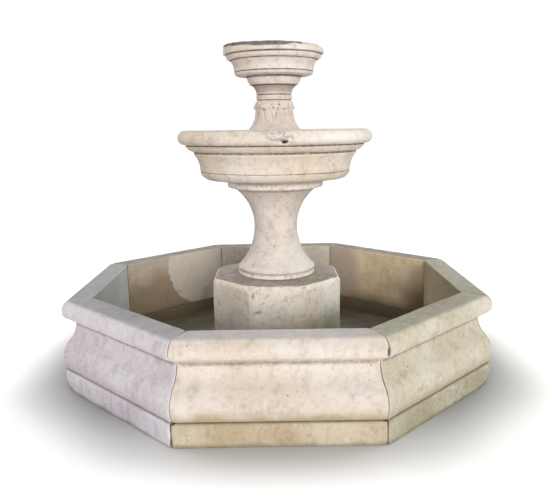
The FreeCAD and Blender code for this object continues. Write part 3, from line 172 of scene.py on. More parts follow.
def softened(outline, rounding, spacing, deepen=0):
    """Outline with worn arrises. Returns points, outward normals and relief, + in hollows and - on arrises.

    spacing gives the wanted distance between points for an array of points. deepen undercuts the quirks.
    """
    step = OUTLINE_STEP
    fine = evenly_spaced(outline)
    smooth = blurred(fine, rounding / step)
    tangent = np.roll(smooth, -1, 0) - np.roll(smooth, 1, 0)
    tangent /= np.linalg.norm(tangent, axis=1)[:, None]
    normal = np.column_stack([tangent[:, 1], -tangent[:, 0]])
    relief = np.sum((blurred(fine, 0.014 / step) - smooth) * normal, axis=1)
    groove = np.sum((blurred(fine, 0.005 / step) - smooth) * normal, axis=1).clip(0, None)
    smooth = smooth - normal * (groove * deepen)[:, None]
    # Narrow grooves get extra relief, so dirt and painted shade darken them.
    groove_dirt_and_shade = blurred(np.clip(groove / 0.0004 - 0.4, 0, 1)[:, None], 0.0018 / step)[:, 0]
    relief = np.maximum(relief, 0.0042 * groove_dirt_and_shade)
    turn = np.linalg.norm(np.roll(tangent, -2, 0) - np.roll(tangent, 2, 0), axis=1) / (4 * step)
    density = 1 / spacing(smooth) + 1.9 * turn
    count = int(np.sum(density) * step)
    order = np.cumsum(density)
    wanted = (np.arange(count) + 0.5) / count * order[-1]
    pick = np.unique(np.searchsorted(order, wanted).clip(0, len(smooth) - 1))
    return smooth[pick], normal[pick], relief[pick]


# -------- stone meshes


def link_new(name, data):
    """A new object in the scene, holding a mesh, light or camera."""
    obj = bpy.data.objects.new(name, data)
    bpy.context.scene.collection.objects.link(obj)
    return obj


def make_mesh(name, points, faces):
    """An object from points and faces, with its faces turned outwards."""
    mesh = bpy.data.meshes.new(name)
    mesh.from_pydata(points.tolist(), [], faces)
    mesh.update()
    if volume(mesh) < 0:
        mesh.flip_normals()
    mesh.shade_smooth()
    return link_new(name, mesh)


def volume(mesh):
    """Volume inside a closed mesh, negative when its faces look inwards."""
    mesh.calc_loop_triangles()
    a, b, c = points_of(mesh)[rows_of(mesh.loop_triangles, "vertices", 3, np.int32).T]
    return float(np.sum(np.cross(a, b) * c)) / 6


def rows_of(items, field, width, kind=np.float32):
    """One field of all the items of a mesh, in a row for each."""
    values = np.zeros(len(items) * width, kind)
    items.foreach_get(field, values)
    return values.reshape(-1, width)


def points_of(mesh):
    return rows_of(mesh.vertices, "co", 3).astype(float)


def normals_of(mesh):
    return rows_of(mesh.vertex_normals, "vector", 3).astype(float)


def move_points(mesh, points):
    mesh.vertices.foreach_set("co", points.astype(np.float32).ravel())
    mesh.update()


def get_attribute(mesh, name):
    return rows_of(mesh.attributes[name].data, "value", 1)[:, 0].astype(float)


def set_attribute(mesh, name, values):
    layer = mesh.attributes.get(name) or mesh.attributes.new(name, "FLOAT", "POINT")
    layer.data.foreach_set("value", np.asarray(values, np.float32))


def lattice_faces(rows, columns, ring):
    """Quads of a grid whose columns close on themselves, and whose rows do too when ring is true."""
    r = np.arange(rows if ring else rows - 1)
    c = np.arange(columns)
    a = r[:, None] * columns + c[None, :]
    b = r[:, None] * columns + (c[None, :] + 1) % columns
    below = ((r + 1) % rows)[:, None] * columns
    quads = np.stack([a, b, below + (c[None, :] + 1) % columns, below + c[None, :]], axis=-1)
    return quads.reshape(-1, 4).tolist()


def turned_stone(name, node, rounding, spacing, steps, deepen=1.5):
    """A turned piece: the CAD section swept round +Z in steps."""
    outline, _, relief = softened(section(node, TURNED_ANGLE), rounding, spacing, deepen)
    turns = np.arange(steps) / steps * 2 * math.pi
    x = outline[None, :, 0] * np.cos(turns)[:, None]
    y = outline[None, :, 0] * np.sin(turns)[:, None]
    z = np.broadcast_to(outline[None, :, 1], x.shape)
    points = np.stack([x, y, z], axis=-1).reshape(-1, 3)
    obj = make_mesh(name, points, lattice_faces(steps, len(outline), True))
    set_attribute(obj.data, "relief", np.tile(relief, steps))
    return obj


def stations(half_side):
    """Places along a wall stone from -1 to 1, close together near its ends."""
    near_end = np.concatenate([[0, 0.3, 0.8, 1.5, 2.4], np.arange(3.6, 14, 1.6)])
    near_end *= HALF_GAP / half_side
    inner = np.linspace(-1, 1, int(half_side * 2 / 0.0125))
    inner = inner[np.abs(inner) < 1 - 0.035 / half_side]
    return np.unique(np.concatenate([near_end - 1, inner, 1 - near_end]))


def worn_rows(outline, normal, lost, end_wear, corner):
    """The outline at every station: drawn in beside the joints and cut round at the wall's corners."""
    arris = end_wear * np.clip(1 - lost / (2 * end_wear), 0, 1) ** 2
    rows = outline[None] - normal[None] * arris[:, None, None]
    within = np.clip(corner * MITRE - lost, 0, None)
    cut = corner - np.sqrt(corner**2 - within**2)
    rows[..., 0] -= cut[:, None] * np.clip(normal[:, 0], 0, 1)[None]
    return rows


def wall_stone(name, node, angle, rounding, spacing, end_wear, corner):
    """A curb or plinth stone: the CAD section swept between its two mitred ends.

    end_wear is the worn arris beside a joint, corner the radius of the wall's rounded corner there.
    """
    outline, normal, relief = softened(section(node, angle, 0.1), rounding, spacing, 0.6)
    half_side = float(outline[:, 0].max()) * MITRE
    spots = stations(half_side)
    lost = (1 - np.abs(spots)) * half_side
    rows = worn_rows(outline, normal, lost, end_wear, corner)
    along = spots[:, None] * (rows[..., 0] * MITRE - HALF_GAP)
    turn = math.radians(angle)
    x = rows[..., 0] * math.cos(turn) - along * math.sin(turn)
    y = rows[..., 0] * math.sin(turn) + along * math.cos(turn)
    count, columns = len(spots), len(outline)
    faces = lattice_faces(count, columns, False)
    faces.append(list(range(columns))[::-1])
    faces.append(list(range((count - 1) * columns, count * columns)))
    obj = make_mesh(name, np.stack([x, y, rows[..., 1]], axis=-1).reshape(-1, 3), faces)
    edge = np.clip(1 - lost / 0.02, 0, 1)[:, None] * 0.004
    set_attribute(obj.data, "relief", (relief - edge).ravel())
    inside = (normal[:, 0] < -0.2) & (outline[:, 0] < 1.12)
    set_attribute(obj.data, "inside", np.tile(inside.astype(float), count))
    return obj


def mesh_relief(mesh, rounds):
    """How far every point lies below, +, or above, -, its smoothed surroundings."""
    a, b = rows_of(mesh.edges, "vertices", 2, np.int32).T
    start = points_of(mesh)
    points = start.copy()
    size = len(points)
    count = np.bincount(a, minlength=size) + np.bincount(b, minlength=size)
    for _ in range(rounds):
        total = np.zeros_like(points)
        for k in range(3):
            total[:, k] = np.bincount(a, points[b, k], size) + np.bincount(b, points[a, k], size)
        points = 0.4 * points + 0.6 * total / np.maximum(count, 1)[:, None]
    return np.sum((points - start) * normals_of(mesh), axis=1)


def weather(obj, seed, waves=0.0016, grit=0.0006, wear=0.003, chips=0.006, hold=None):
    """Uneven faces, rubbed arrises and small breaks along them. hold keeps parts of the piece as cut."""
    mesh = obj.data
    points = points_of(mesh)
    offset = waves * fractal(points, 0.26, seed, 2) + grit * fractal(points, 0.04, seed + 11, 3)
    edge = np.clip(-get_attribute(mesh, "relief") / 0.003, 0, 1)
    rubbed = np.clip(noise(points, 0.13, seed + 23), 0, 1)
    offset -= edge * wear * (0.2 + rubbed)
    broken = ease(edge, 0.25, 0.9) * ease(fractal(points, 0.05, seed + 31, 2), 0.3, 0.62)
    offset -= broken * chips
    pitted = ease(fractal(points, 0.021, seed + 37, 2), 0.45, 0.7)
    offset -= pitted * 0.0014
    moved = normals_of(mesh) * offset[:, None]
    if hold is not None:
        moved *= 1 - hold(points)
    move_points(mesh, points + moved)
    set_attribute(mesh, "broken", broken)


def dent(obj, centre, size, depth, seed, direction, fresh=1):
    """Knocks a ragged hollow into a piece, pushed along direction. fresh is how pale its stone shows."""
    mesh = obj.data
    points = points_of(mesh)
    reach = np.linalg.norm((points - np.array(centre)) / np.array(size), axis=1)
    mask = 1 - ease(reach + 0.35 * fractal(points, 0.03, seed, 2), 0.45, 1)
    move_points(mesh, points + np.array(direction) * (mask * depth)[:, None])
    set_attribute(mesh, "broken", np.maximum(get_attribute(mesh, "broken"), fresh * mask))


# -------- materials


def rgb(red, green, blue):
    """Linear colour from 0-255 screen values."""
    parts = [c / 255 for c in (red, green, blue)]
    return (*[c / 12.92 if c <= 0.04045 else ((c + 0.055) / 1.055) ** 2.4 for c in parts], 1)


class Graph:
    """The node tree of a material or world. Its methods take sockets and plain values alike."""

    def __init__(self, owner, output="ShaderNodeOutputMaterial", place="Object"):
        self.owner = owner
        owner.use_nodes = True
        self.tree = owner.node_tree
        self.tree.nodes.clear()
        self.output = self.tree.nodes.new(output)
        self.place = self.make("ShaderNodeTexCoord").outputs[place]
        self.normal = self.make("ShaderNodeNewGeometry").outputs["Normal"]

    def make(self, kind, inputs=None, **settings):
        node = self.tree.nodes.new(kind)
        for key, value in settings.items():
            setattr(node, key, value)
        for key, value in (inputs or {}).items():
            self.feed(node.inputs[key], value)
        return node

    def feed(self, socket, value):
        if isinstance(value, bpy.types.NodeSocket):
            self.tree.links.new(value, socket)
        elif value is not None:
            socket.default_value = value

    def math(self, kind, *values):
        return self.make("ShaderNodeMath", dict(enumerate(values)), operation=kind).outputs[0]

    def vector(self, kind, *values):
        return self.make("ShaderNodeVectorMath", dict(enumerate(values)), operation=kind)

    def plus(self, a, b):
        return self.math("ADD", a, b)

    def minus(self, a, b):
        return self.math("SUBTRACT", a, b)

    def times(self, a, b):
        return self.math("MULTIPLY", a, b)

    def ease(self, x, low, high, start=0, end=1):
        """start below low, end above high, smooth between."""
        inputs = {"Value": x, "From Min": low, "From Max": high, "To Min": start, "To Max": end}
        return self.make("ShaderNodeMapRange", inputs, interpolation_type="SMOOTHSTEP").outputs[0]

    def mix(self, share, a, b, kind="MIX"):
        """a covered by a share of b. A colour with three parts counts from 0 to 255, as on a screen."""
        a, b = (rgb(*c) if isinstance(c, tuple) and len(c) == 3 else c for c in (a, b))
        inputs = {0: share, 6: a, 7: b}
        return self.make("ShaderNodeMix", inputs, data_type="RGBA", blend_type=kind).outputs[2]

    def over(self, colour, tint, x, low, high, start=0, end=1):
        """colour covered by tint: start of it where x is low, end of it where x is high."""
        return self.mix(self.ease(x, low, high, start, end), colour, tint)

    def scaled(self, x, y, z):
        return self.make("ShaderNodeMapping", {"Vector": self.place, "Scale": (x, y, z)}).outputs[0]

    def noise(self, scale, detail=4, rough=0.55, seed=0, at=None, twist=0):
        inputs = {"Vector": at or self.place, "Scale": scale, "Detail": detail, "Roughness": rough}
        inputs.update({"W": seed, "Distortion": twist})
        return self.make("ShaderNodeTexNoise", inputs, noise_dimensions="4D").outputs[0]

    def about(self, scale, detail, rough, seed, reach):
        """Noise shifted to lie about 0 and scaled by reach."""
        return self.times(self.minus(self.noise(scale, detail, rough, seed), 0.5), reach)

    def cells(self, scale):
        """Distance to the nearest of a cloud of points, and a random colour for each point."""
        node = self.make("ShaderNodeTexVoronoi", {"Vector": self.place, "Scale": scale})
        return node.outputs["Distance"], node.outputs["Color"]

    def attribute(self, name):
        return self.make("ShaderNodeAttribute", attribute_name=name).outputs["Fac"]

    def axis(self, vector, index):
        return self.make("ShaderNodeSeparateXYZ", {0: vector}).outputs[index]

    def patch(self, colour, tint, share, centre, size, ragged, seed, edge=0.3):
        """colour with a ragged blob of tint on it. edge is the soft part of the blob's outline."""
        moved = self.vector("SUBTRACT", self.place, centre).outputs[0]
        shape = self.vector("DIVIDE", moved, size).outputs[0]
        reach = self.vector("LENGTH", shape).outputs["Value"]
        reach = self.plus(reach, self.about(40, 4, 0.6, seed, ragged))
        return self.mix(self.ease(reach, 1 - edge, 1, share, 0), colour, tint)

    def finish(self, colour, rough, height=None, depth=0.001, metal=0, shine=0.3):
        inputs = {"Base Color": colour, "Roughness": rough, "Metallic": metal, "Specular IOR Level": shine}
        shader = self.make("ShaderNodeBsdfPrincipled", inputs)
        if height is not None:
            bump = self.make("ShaderNodeBump", {"Height": height, "Distance": depth, "Strength": 1})
            self.feed(shader.inputs["Normal"], bump.outputs[0])
        self.feed(self.output.inputs[0], shader.outputs[0])
        return self.owner


# The two greys of the film on top faces.
GREY_TOP = ((146, 145, 141), (164, 163, 157))
PALE_TOP = ((176, 172, 164), (194, 190, 181))
GREEN_TOP = ((148, 146, 128), (170, 167, 146))
DARK_TOP = ((104, 100, 90), (140, 136, 124))
BROWN_TOP = ((140, 130, 116), (166, 156, 140))


def clouded(g, pale, warm, shade, seed, mottle):
    """The stone itself: clouds, blushes, blots and smudges. Returns the colour and two of its noises."""
    cloud = g.noise(2.6, 5, 0.55, seed)
    colour = g.over(pale, warm, cloud, 0.4, 0.62)
    blush = g.noise(6.5, 4, 0.6, seed + 3.1, twist=0.6)
    pink = g.mix(0.5, warm, (206, 184, 178))
    colour = g.over(colour, pink, blush, 0.55, 0.75, 0, 0.4)
    blot = g.noise(17, 5, 0.62, seed + 5.3)
    colour = g.over(colour, g.mix(0.5, colour, shade), blot, 0.48, 0.7, 0, 0.6 * mottle)
    smudge = g.noise(44, 4, 0.65, seed + 21)
    colour = g.over(colour, g.mix(0.42, colour, shade), smudge, 0.5, 0.68, 0, 0.45 * mottle)
    colour = g.over(colour, (240, 232, 220), smudge, 0.28, 0.42, 0.4 * mottle, 0)
    return colour, cloud, blot


def streaked(g, colour, shade, seed, streaks):
    """Rain streaks down the upright faces."""
    upright = g.ease(g.math("ABSOLUTE", g.axis(g.normal, 2)), 0.3, 0.85, 1, 0)
    run = g.noise(1, 3, 0.6, seed + 7.7, at=g.scaled(26, 26, 1.6))
    run = g.times(g.ease(run, 0.52, 0.72), g.times(upright, streaks))
    return g.mix(run, colour, g.mix(0.6, colour, shade))


def chalked(g, colour, seed):
    """Torn chalky veins, in patches."""
    vein = g.noise(9, 6, 0.65, seed + 9.1, twist=1.3)
    vein = g.ease(g.math("ABSOLUTE", g.minus(vein, 0.5)), 0, 0.03, 0.42, 0)
    patchy = g.ease(g.noise(3.4, 3, 0.5, seed + 2.2), 0.46, 0.6)
    torn = g.ease(g.noise(36, 3, 0.6, seed + 23), 0.44, 0.58)
    return g.mix(g.times(vein, g.times(patchy, torn)), colour, (240, 234, 224))


def pitted(g, colour, shade, seed, cloud, blot):
    """Grain, dark flecks and rarer, wider pits. Returns the colour and the height of the surface."""
    grain = g.noise(240, 3, 0.7, seed)
    grainy = g.over(g.mix(0.16, colour, shade), colour, grain, 0.3, 0.7)
    colour = g.mix(0.5, colour, grainy)
    fleck, tone = g.cells(95)
    chosen = g.ease(g.axis(tone, 0), 0.62, 0.72)
    chosen = g.times(chosen, g.ease(blot, 0.36, 0.6, 0.15, 1))
    dots = g.times(g.ease(fleck, 0.12, 0.34, 1, 0), chosen)
    colour = g.mix(g.times(dots, 0.32), colour, shade)
    hole, kind = g.cells(34)
    rare = g.times(g.ease(g.axis(kind, 1), 0.84, 0.9), g.ease(cloud, 0.4, 0.55))
    ragged = g.plus(hole, g.times(g.noise(55, 3, 0.6, seed + 1.3), 0.25))
    pit = g.times(g.ease(ragged, 0.2, 0.36, 1, 0), rare)
    colour = g.mix(g.times(pit, 0.6), colour, (110, 92, 72))
    height = g.plus(g.times(g.noise(70, 6, 0.7, seed), 0.9), g.times(grain, 0.3))
    height = g.minus(height, g.times(pit, 1.4))
    height = g.minus(height, g.times(dots, 0.35))
    return colour, height


def filmed_top(g, colour, seed, crown, patina):
    """A grey film on the faces that look up."""
    top = g.times(g.ease(g.axis(g.normal, 2), 0.72, 0.95), patina)
    film = g.ease(g.noise(11, 5, 0.65, seed + 4.4), 0.25, 0.6, 0.8, 1)
    grey = g.mix(g.ease(g.noise(24, 4, 0.6, seed), 0.3, 0.7), *crown)
    return g.mix(g.times(top, film), colour, grey)


def damp_above(g, colour, seed, tint, base, height, amount):
    """A damp stain about height tall that rises from base, with a ragged upper edge."""
    rise = g.times(g.noise(8, 5, 0.65, seed + 6), -1.4 * height)
    line = g.plus(g.minus(g.axis(g.place, 2), base - 0.2 * height), rise)
    damp = g.times(g.ease(line, -0.5 * height, height * 0.3, 1, 0), amount)
    return g.mix(damp, colour, tint)


def worn(g, colour, seed, blot, hollow_dirt_and_shade):
    """Dirt and painted shade in the hollows, rubbed pale arrises and fresh breaks."""
    relief = g.attribute("relief")
    # Dirt and painted shade darken the hollows.
    dirt = g.ease(relief, 0.0007, 0.003)
    uneven = g.ease(g.noise(42, 4, 0.65, seed + 8), 0.3, 0.62, 0.45, 1)
    colour = g.mix(g.times(g.times(dirt, uneven), hollow_dirt_and_shade), colour, (96, 76, 58))
    rub = g.times(g.ease(relief, -0.0052, -0.0012, 1, 0), g.ease(blot, 0.35, 0.6))
    colour = g.mix(g.times(rub, 0.3), colour, (242, 236, 226))
    stone = g.mix(g.noise(60, 3, 0.6, seed), (140, 126, 108), (228, 220, 206))
    return g.mix(g.times(g.attribute("broken"), 0.45), colour, stone)


def limestone(name, tones, seed, patina=0.75, streaks=0.35, crown=GREY_TOP, hollow_dirt_and_shade=0.9, mottle=1, **marks):
    """Weathered limestone in a pale, a warm and a shade tone.

    patina is how grey the tops are, in the two greys of crown, hollow_dirt_and_shade how dark the hollows
    are with dirt and painted shade, streaks how strong the rain runs are and mottle how blotchy the stone
    is.
    marks may hold low, the settings of damp_above, inner, those of pool_side, and extra, a function that
    changes the colour in a graph.
    """
    g = Graph(bpy.data.materials.new(name))
    shade = tones[2]
    colour, cloud, blot = clouded(g, *tones, seed, mottle)
    colour = streaked(g, colour, shade, seed, streaks)
    colour = chalked(g, colour, seed)
    colour, height = pitted(g, colour, shade, seed, cloud, blot)
    colour = filmed_top(g, colour, seed, crown, patina)
    if "low" in marks:
        colour = damp_above(g, colour, seed, **marks["low"])
    if "extra" in marks:
        colour = marks["extra"](g, colour)
    colour = worn(g, colour, seed, blot, hollow_dirt_and_shade)
    colour = g.mix(1, colour, TONE, "MULTIPLY")
    if "inner" in marks:
        colour = pool_side(g, colour, seed, **marks["inner"])
    return g.finish(colour, g.ease(cloud, 0.3, 0.7, 0.82, 0.95), height, 0.0016, shine=0.2)


def pool_side(g, colour, seed, dry, tide, wet, line=0.27, soft=0.02, runs=0.4, patches=(), algae=0.5):
    """Colours of a face that stood under water: dry stone above a ragged tide line, brown and green below,
    darkest at the floor with wet stain and painted shade.

    patches are rows of tint, share, centre, size and edge for Graph.patch.
    """
    z = g.axis(g.place, 2)
    clouds = g.noise(5, 5, 0.6, seed + 12, twist=0.4)
    face = g.over(dry, g.mix(0.35, dry, tide), clouds, 0.35, 0.65)
    run = g.noise(1, 4, 0.6, seed + 13, at=g.scaled(34, 34, 2))
    face = g.over(face, g.mix(0.5, face, wet), run, 0.5, 0.7, 0, runs)
    level = g.plus(z, g.about(2.1, 2, 0.5, seed + 14, 0.4))
    level = g.plus(level, g.about(30, 4, 0.6, seed + 16, 0.02))
    face = g.over(face, tide, level, line - soft, line + soft, 0.9, 0)
    for number, (tint, share, centre, size, edge) in enumerate(patches):
        face = g.patch(face, tint, share, centre, size, 0.16, seed + number, edge)
    fine = g.noise(26, 5, 0.65, seed + 17)
    face = g.over(face, g.mix(0.5, face, wet), fine, 0.42, 0.68, 0, 0.3)
    green = g.ease(g.noise(7, 5, 0.6, seed + 15), 0.5, 0.66, 0, algae)
    face = g.mix(g.times(green, g.ease(z, 0.2, 0.34, 1, 0)), face, (84, 98, 72))
    # Wet stain and painted shade darken the face towards the pool floor.
    face = g.over(face, wet, level, 0.05, 0.2, 0.8, 0)
    return g.mix(g.attribute("inside"), colour, face)


def plain(name, base, second, scale, rough, metal=0, depth=0.0004, dirt=None, dirt_share=0.4):
    """A clouded, slightly pitted finish for metal, rubber, plastic and mortar parts."""
    g = Graph(bpy.data.materials.new(name))
    colour = g.over(base, second, g.noise(scale, 5, 0.6), 0.35, 0.65)
    grain = g.noise(scale * 14, 3, 0.65, 1)
    if dirt:
        spread = g.noise(scale * 2.3, 5, 0.7, 4)
        colour = g.over(colour, dirt, spread, 0.48, 0.68, 0, dirt_share)
    finish = g.ease(grain, 0.3, 0.7, rough - 0.08, min(rough + 0.08, 1))
    return g.finish(colour, finish, grain, depth, metal, 0.4)


def paint(obj, material):
    obj.data.materials.clear()
    obj.data.materials.append(material)


def stand_for(node, obj, material):
    """Shows obj, in its material, in place of a CAD node of the fixed body."""
    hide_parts(node)
    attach(obj, "fountain")
    paint(obj, material)


# -------- pool wall

# Patches on the faces in the pool, for pool_side.
LIME_PATCH = ((198, 191, 180), 0.9, (-0.555, 0.937, 0.42), (0.36, 0.36, 0.335), 0.04)
DUSKY_PATCH = ((182, 166, 152), 0.85, (0.5, 0.99, 0.3), (0.24, 0.24, 0.6), 0.5)
# Brown silt and painted shade, low in the corners of the back right face.
SILT_AND_SHADE_PATCHES = (
    ((106, 90, 66), 0.9, (1.07, 0.42, 0.08), (0.28, 0.28, 0.42), 0.7),
    ((106, 90, 66), 0.8, (0.75, 0.74, 0), (0.5, 0.5, 0.26), 0.6),
)
# The sides of the pool, the first facing +X and each next one turned by 45 degrees. curb and plinth are the
# pale, warm and shade tones of its two stones, crown the greys of the top, inner the colours of the face in
# the pool and stained the strength of the ochre stain over the bed joint. The side stones' tones hold their
# own hues and are set darker than the front's, partly as painted shade on faces turned from the key light.
WALL = {
    "right": dict(
        curb=((216, 207, 186), (202, 190, 164), (150, 138, 108)),
        plinth=((184, 176, 150), (166, 156, 124), (106, 100, 72)),
        crown=GREEN_TOP,
        inner=dict(
            dry=(176, 163, 134), tide=(134, 122, 96), wet=(96, 88, 66), line=0.22, runs=0.15, algae=0.3
        ),
    ),
    "back_right": dict(
        curb=((220, 208, 188), (206, 192, 166), (152, 136, 108)),
        plinth=((194, 184, 160), (176, 162, 132), (112, 100, 74)),
        crown=DARK_TOP,
        inner=dict(
            dry=(224, 204, 172),
            tide=(150, 132, 102),
            wet=(112, 98, 74),
            line=0.12,
            soft=0.06,
            runs=0.12,
            patches=(DUSKY_PATCH, *SILT_AND_SHADE_PATCHES),
            algae=0.3,
        ),
    ),
    "back": dict(
        curb=((220, 210, 194), (206, 194, 174), (152, 136, 112)),
        plinth=((198, 186, 162), (180, 166, 136), (116, 102, 76)),
        crown=DARK_TOP,
        inner=dict(dry=(196, 190, 176), tide=(142, 126, 104), wet=(90, 80, 60), line=0.28, runs=0.25),
    ),
    "back_left": dict(
        curb=((218, 208, 194), (204, 190, 172), (150, 132, 110)),
        plinth=((196, 186, 166), (178, 164, 138), (116, 102, 80)),
        crown=DARK_TOP,
        inner=dict(
            dry=(178, 166, 154),
            tide=(144, 128, 105),
            wet=(116, 104, 84),
            line=0.37,
            soft=0.05,
            runs=0.25,
            patches=(LIME_PATCH,),
        ),
    ),
    "left": dict(
        curb=((214, 205, 198), (200, 188, 180), (146, 130, 116)),
        plinth=((196, 186, 172), (178, 164, 148), (118, 102, 86)),
        crown=GREY_TOP,
        stained=0.2,
        inner=dict(dry=(184, 188, 187), tide=(166, 168, 162), wet=(112, 110, 100), line=0.2, runs=0.12),
    ),
    "front_left": dict(
        curb=((225, 217, 212), (211, 200, 196), (156, 143, 135)),
        plinth=((224, 217, 216), (210, 200, 198), (148, 134, 126)),
        crown=GREY_TOP,
        stained=0.12,
        inner=dict(dry=(176, 172, 160), tide=(140, 130, 110), wet=(84, 78, 62)),
    ),
    "front": dict(
        curb=((233, 222, 206), (224, 208, 184), (168, 148, 120)),
        plinth=((220, 204, 175), (198, 178, 142), (120, 102, 74)),
        crown=PALE_TOP,
        stained=0.9,
        inner=dict(dry=(182, 172, 152), tide=(138, 120, 94), wet=(84, 74, 58)),
    ),
    "front_right": dict(
        curb=((222, 214, 192), (208, 198, 170), (150, 140, 110)),
        plinth=((196, 189, 162), (176, 168, 134), (112, 110, 76)),
        crown=GREEN_TOP,
        stained=0.6,
        inner=dict(dry=(174, 166, 142), tide=(134, 120, 94), wet=(80, 72, 56)),
    ),
}
# The inner face of a plinth stone shows only below the curb's, where the wall is always damp; its dark
# colours are damp stain and painted shade near the pool floor.
PLINTH_INSIDE = dict(dry=(124, 111, 90), tide=(118, 104, 84), wet=(106, 94, 75), line=0.2)


def curb_spacing(points):
    return np.where(points[:, 1] < CURB_FOOT + 0.001, 0.05, 0.0115)


def plinth_spacing(points):
    under = points[:, 1] < 0.002
    inner = points[:, 0] < POOL_HALF + 0.002
    bedded = (points[:, 1] > PLINTH_TOP - 0.002) & (points[:, 0] < BED_HIDDEN)
    return np.where(under | inner | bedded, 0.05, 0.011)


def wall_hold(points):
    """Keeps the beds flat where stone meets stone or the ground, with a share for x, y and z."""
    z = points[:, 2]
    ground = 1 - ease(z, 0, 0.006)
    bed = 1 - ease(np.abs(z - WALL_BED), 0.003, 0.012)
    bed = 0.8 * bed * (np.hypot(points[:, 0], points[:, 1]) < BED_HIDDEN)
    return np.column_stack([bed, bed, np.maximum(ground, bed)])


def curb(number, side, look):
    """A moulded curb stone, its foot stained ochre."""
    wear = dict(rounding=0.0022, spacing=curb_spacing, end_wear=0.0022, corner=0.024)
    obj = wall_stone(f"{side}_curb_stone", f"curb_{side}", 45 * number, **wear)
    weather(obj, 40, hold=wall_hold)
    ochre = dict(tint=(182, 163, 124), base=WALL_BED, height=0.085, amount=look.get("stained", 0.5))
    marks = dict(crown=look["crown"], hollow_dirt_and_shade=0.6, mottle=1.3, low=ochre, inner=look["inner"])
    stone = limestone(f"curb_stone_{side}", look["curb"], 1.7 + number * 3.3, **marks)
    stand_for(f"curb_{side}", obj, stone)


def plinth(number, side, look):
    """A plinth stone, rougher than the curb and with rounder corners."""
    wear = dict(rounding=0.0045, spacing=plinth_spacing, end_wear=0.0035, corner=0.07)
    obj = wall_stone(f"{side}_plinth_stone", f"plinth_{side}", 45 * number, **wear)
    weather(obj, 90, waves=0.0022, grit=0.0009, wear=0.0045, chips=0.008, hold=wall_hold)
    wear_corners(obj, 0.018)
    splashed = dict(tint=(132, 122, 90), base=0, height=0.035, amount=0.6)
    marks = dict(patina=0.4, streaks=0.5, mottle=0.8, low=splashed, inner=PLINTH_INSIDE)
    stone = limestone(f"plinth_stone_{side}", look["plinth"], 30.1 + number * 2.7, **marks)
    stand_for(f"plinth_{side}", obj, stone)


def wear_corners(obj, depth):
    """Rounds the foot of the plinth at its leftmost and rightmost front corners."""
    points = points_of(obj.data)
    reach = np.array([0.15, 0.15, 0.1])
    turn = math.radians(22.5)
    for side in (-1, 1):
        corner = np.array([side * PLINTH_HALF, -PLINTH_HALF * MITRE, -0.02])
        away = np.linalg.norm((points - corner) / reach, axis=1)
        inwards = np.array([-side * math.cos(turn), math.sin(turn), 0])
        points += inwards * (depth * (1 - ease(away, 0.1, 1)))[:, None]
    move_points(obj.data, points)


MORTAR = plain("joint_mortar", (142, 126, 110), (116, 100, 86), 30, 0.95, depth=0.001, dirt=(164, 148, 130))


def joint_mortar():
    """The mortar of the mitre joints, kept behind the worn arrises of the stones."""
    obj = link_new("mitre_joint_mortar", NODES["corner_mortar"].data.copy())
    points = points_of(obj.data)
    radius = np.hypot(points[:, 0], points[:, 1])
    set_back = np.where(points[:, 2] < WALL_BED + 0.001, 0.0075, 0.003) * ease(radius, 1.2, 1.24)
    points[:, :2] *= (1 - set_back / radius)[:, None]
    move_points(obj.data, points)
    wear_corners(obj, 0.022)
    stand_for("corner_mortar", obj, MORTAR)


for number, (side, look) in enumerate(WALL.items()):
    curb(number, side, look)
    plinth(number, side, look)
joint_mortar()

# -------- pedestal block

BLOCK_TONES = ((255, 246, 227), (246, 232, 208), (168, 152, 126))
# Knocks in the front and its arrises, for dent.
BLOCK_KNOCKS = (
    ((-0.165, -0.392, 0.06), (0.05, 0.04, 0.05), 0.02, 12, (0.3, 0.9, 0.1)),
    ((-0.165, -0.39, 0.545), (0.04, 0.035, 0.03), 0.012, 14, (0.2, 0.8, -0.5)),
    ((-0.116, -0.395, 0.39), (0.028, 0.03, 0.016), 0.009, 16, (0, 1, 0), 0.3),
    ((-0.142, -0.395, 0.498), (0.015, 0.03, 0.034), 0.006, 18, (0, 1, 0), 0.3),
    ((0.165, -0.392, 0.55), (0.03, 0.04, 0.016), 0.008, 20, (0, 0.8, -0.5)),
)
ALGAE = (162, 172, 132)
PALE_CHIP = (240, 228, 204)
DARK_HOLE = (136, 116, 92)
# Painted shade on the left, a bleached right, algae, and chips and holes in the front, for Graph.patch.
BLOCK_PATCHES = (
    # Painted shade on the left facet.
    ((186, 168, 150), 0.15, (-0.32, -0.3, 0.25), (0.2, 0.25, 0.5), 0.4, 5, 0.7),
    ((255, 255, 240), 0.6, (0.36, -0.28, 0.42), (0.16, 0.22, 0.16), 0.5, 13, 0.8),
    (ALGAE, 0.7, (0.32, -0.24, 0.27), (0.13, 0.16, 0.17), 1.4, 7, 0.9),
    (ALGAE, 0.5, (0.2, -0.36, 0.26), (0.14, 0.1, 0.12), 1.4, 7, 0.9),
    (ALGAE, 0.35, (0.03, -0.39, 0.24), (0.18, 0.06, 0.08), 1.4, 7, 0.9),
    (PALE_CHIP, 1, (-0.163, -0.392, 0.545), (0.022, 0.03, 0.04), 0.9, 2, 0.4),
    (PALE_CHIP, 1, (-0.158, -0.392, 0.46), (0.012, 0.03, 0.05), 0.9, 2, 0.4),
    (PALE_CHIP, 1, (-0.15, -0.392, 0.34), (0.014, 0.03, 0.05), 0.9, 2, 0.4),
    (DARK_HOLE, 0.6, (-0.116, -0.392, 0.392), (0.022, 0.03, 0.011), 1.2, 4, 0.6),
    (DARK_HOLE, 0.6, (-0.142, -0.392, 0.498), (0.011, 0.03, 0.03), 1.2, 4, 0.6),
    (DARK_HOLE, 0.6, (0.168, -0.39, 0.546), (0.03, 0.04, 0.008), 1.2, 4, 0.6),
)


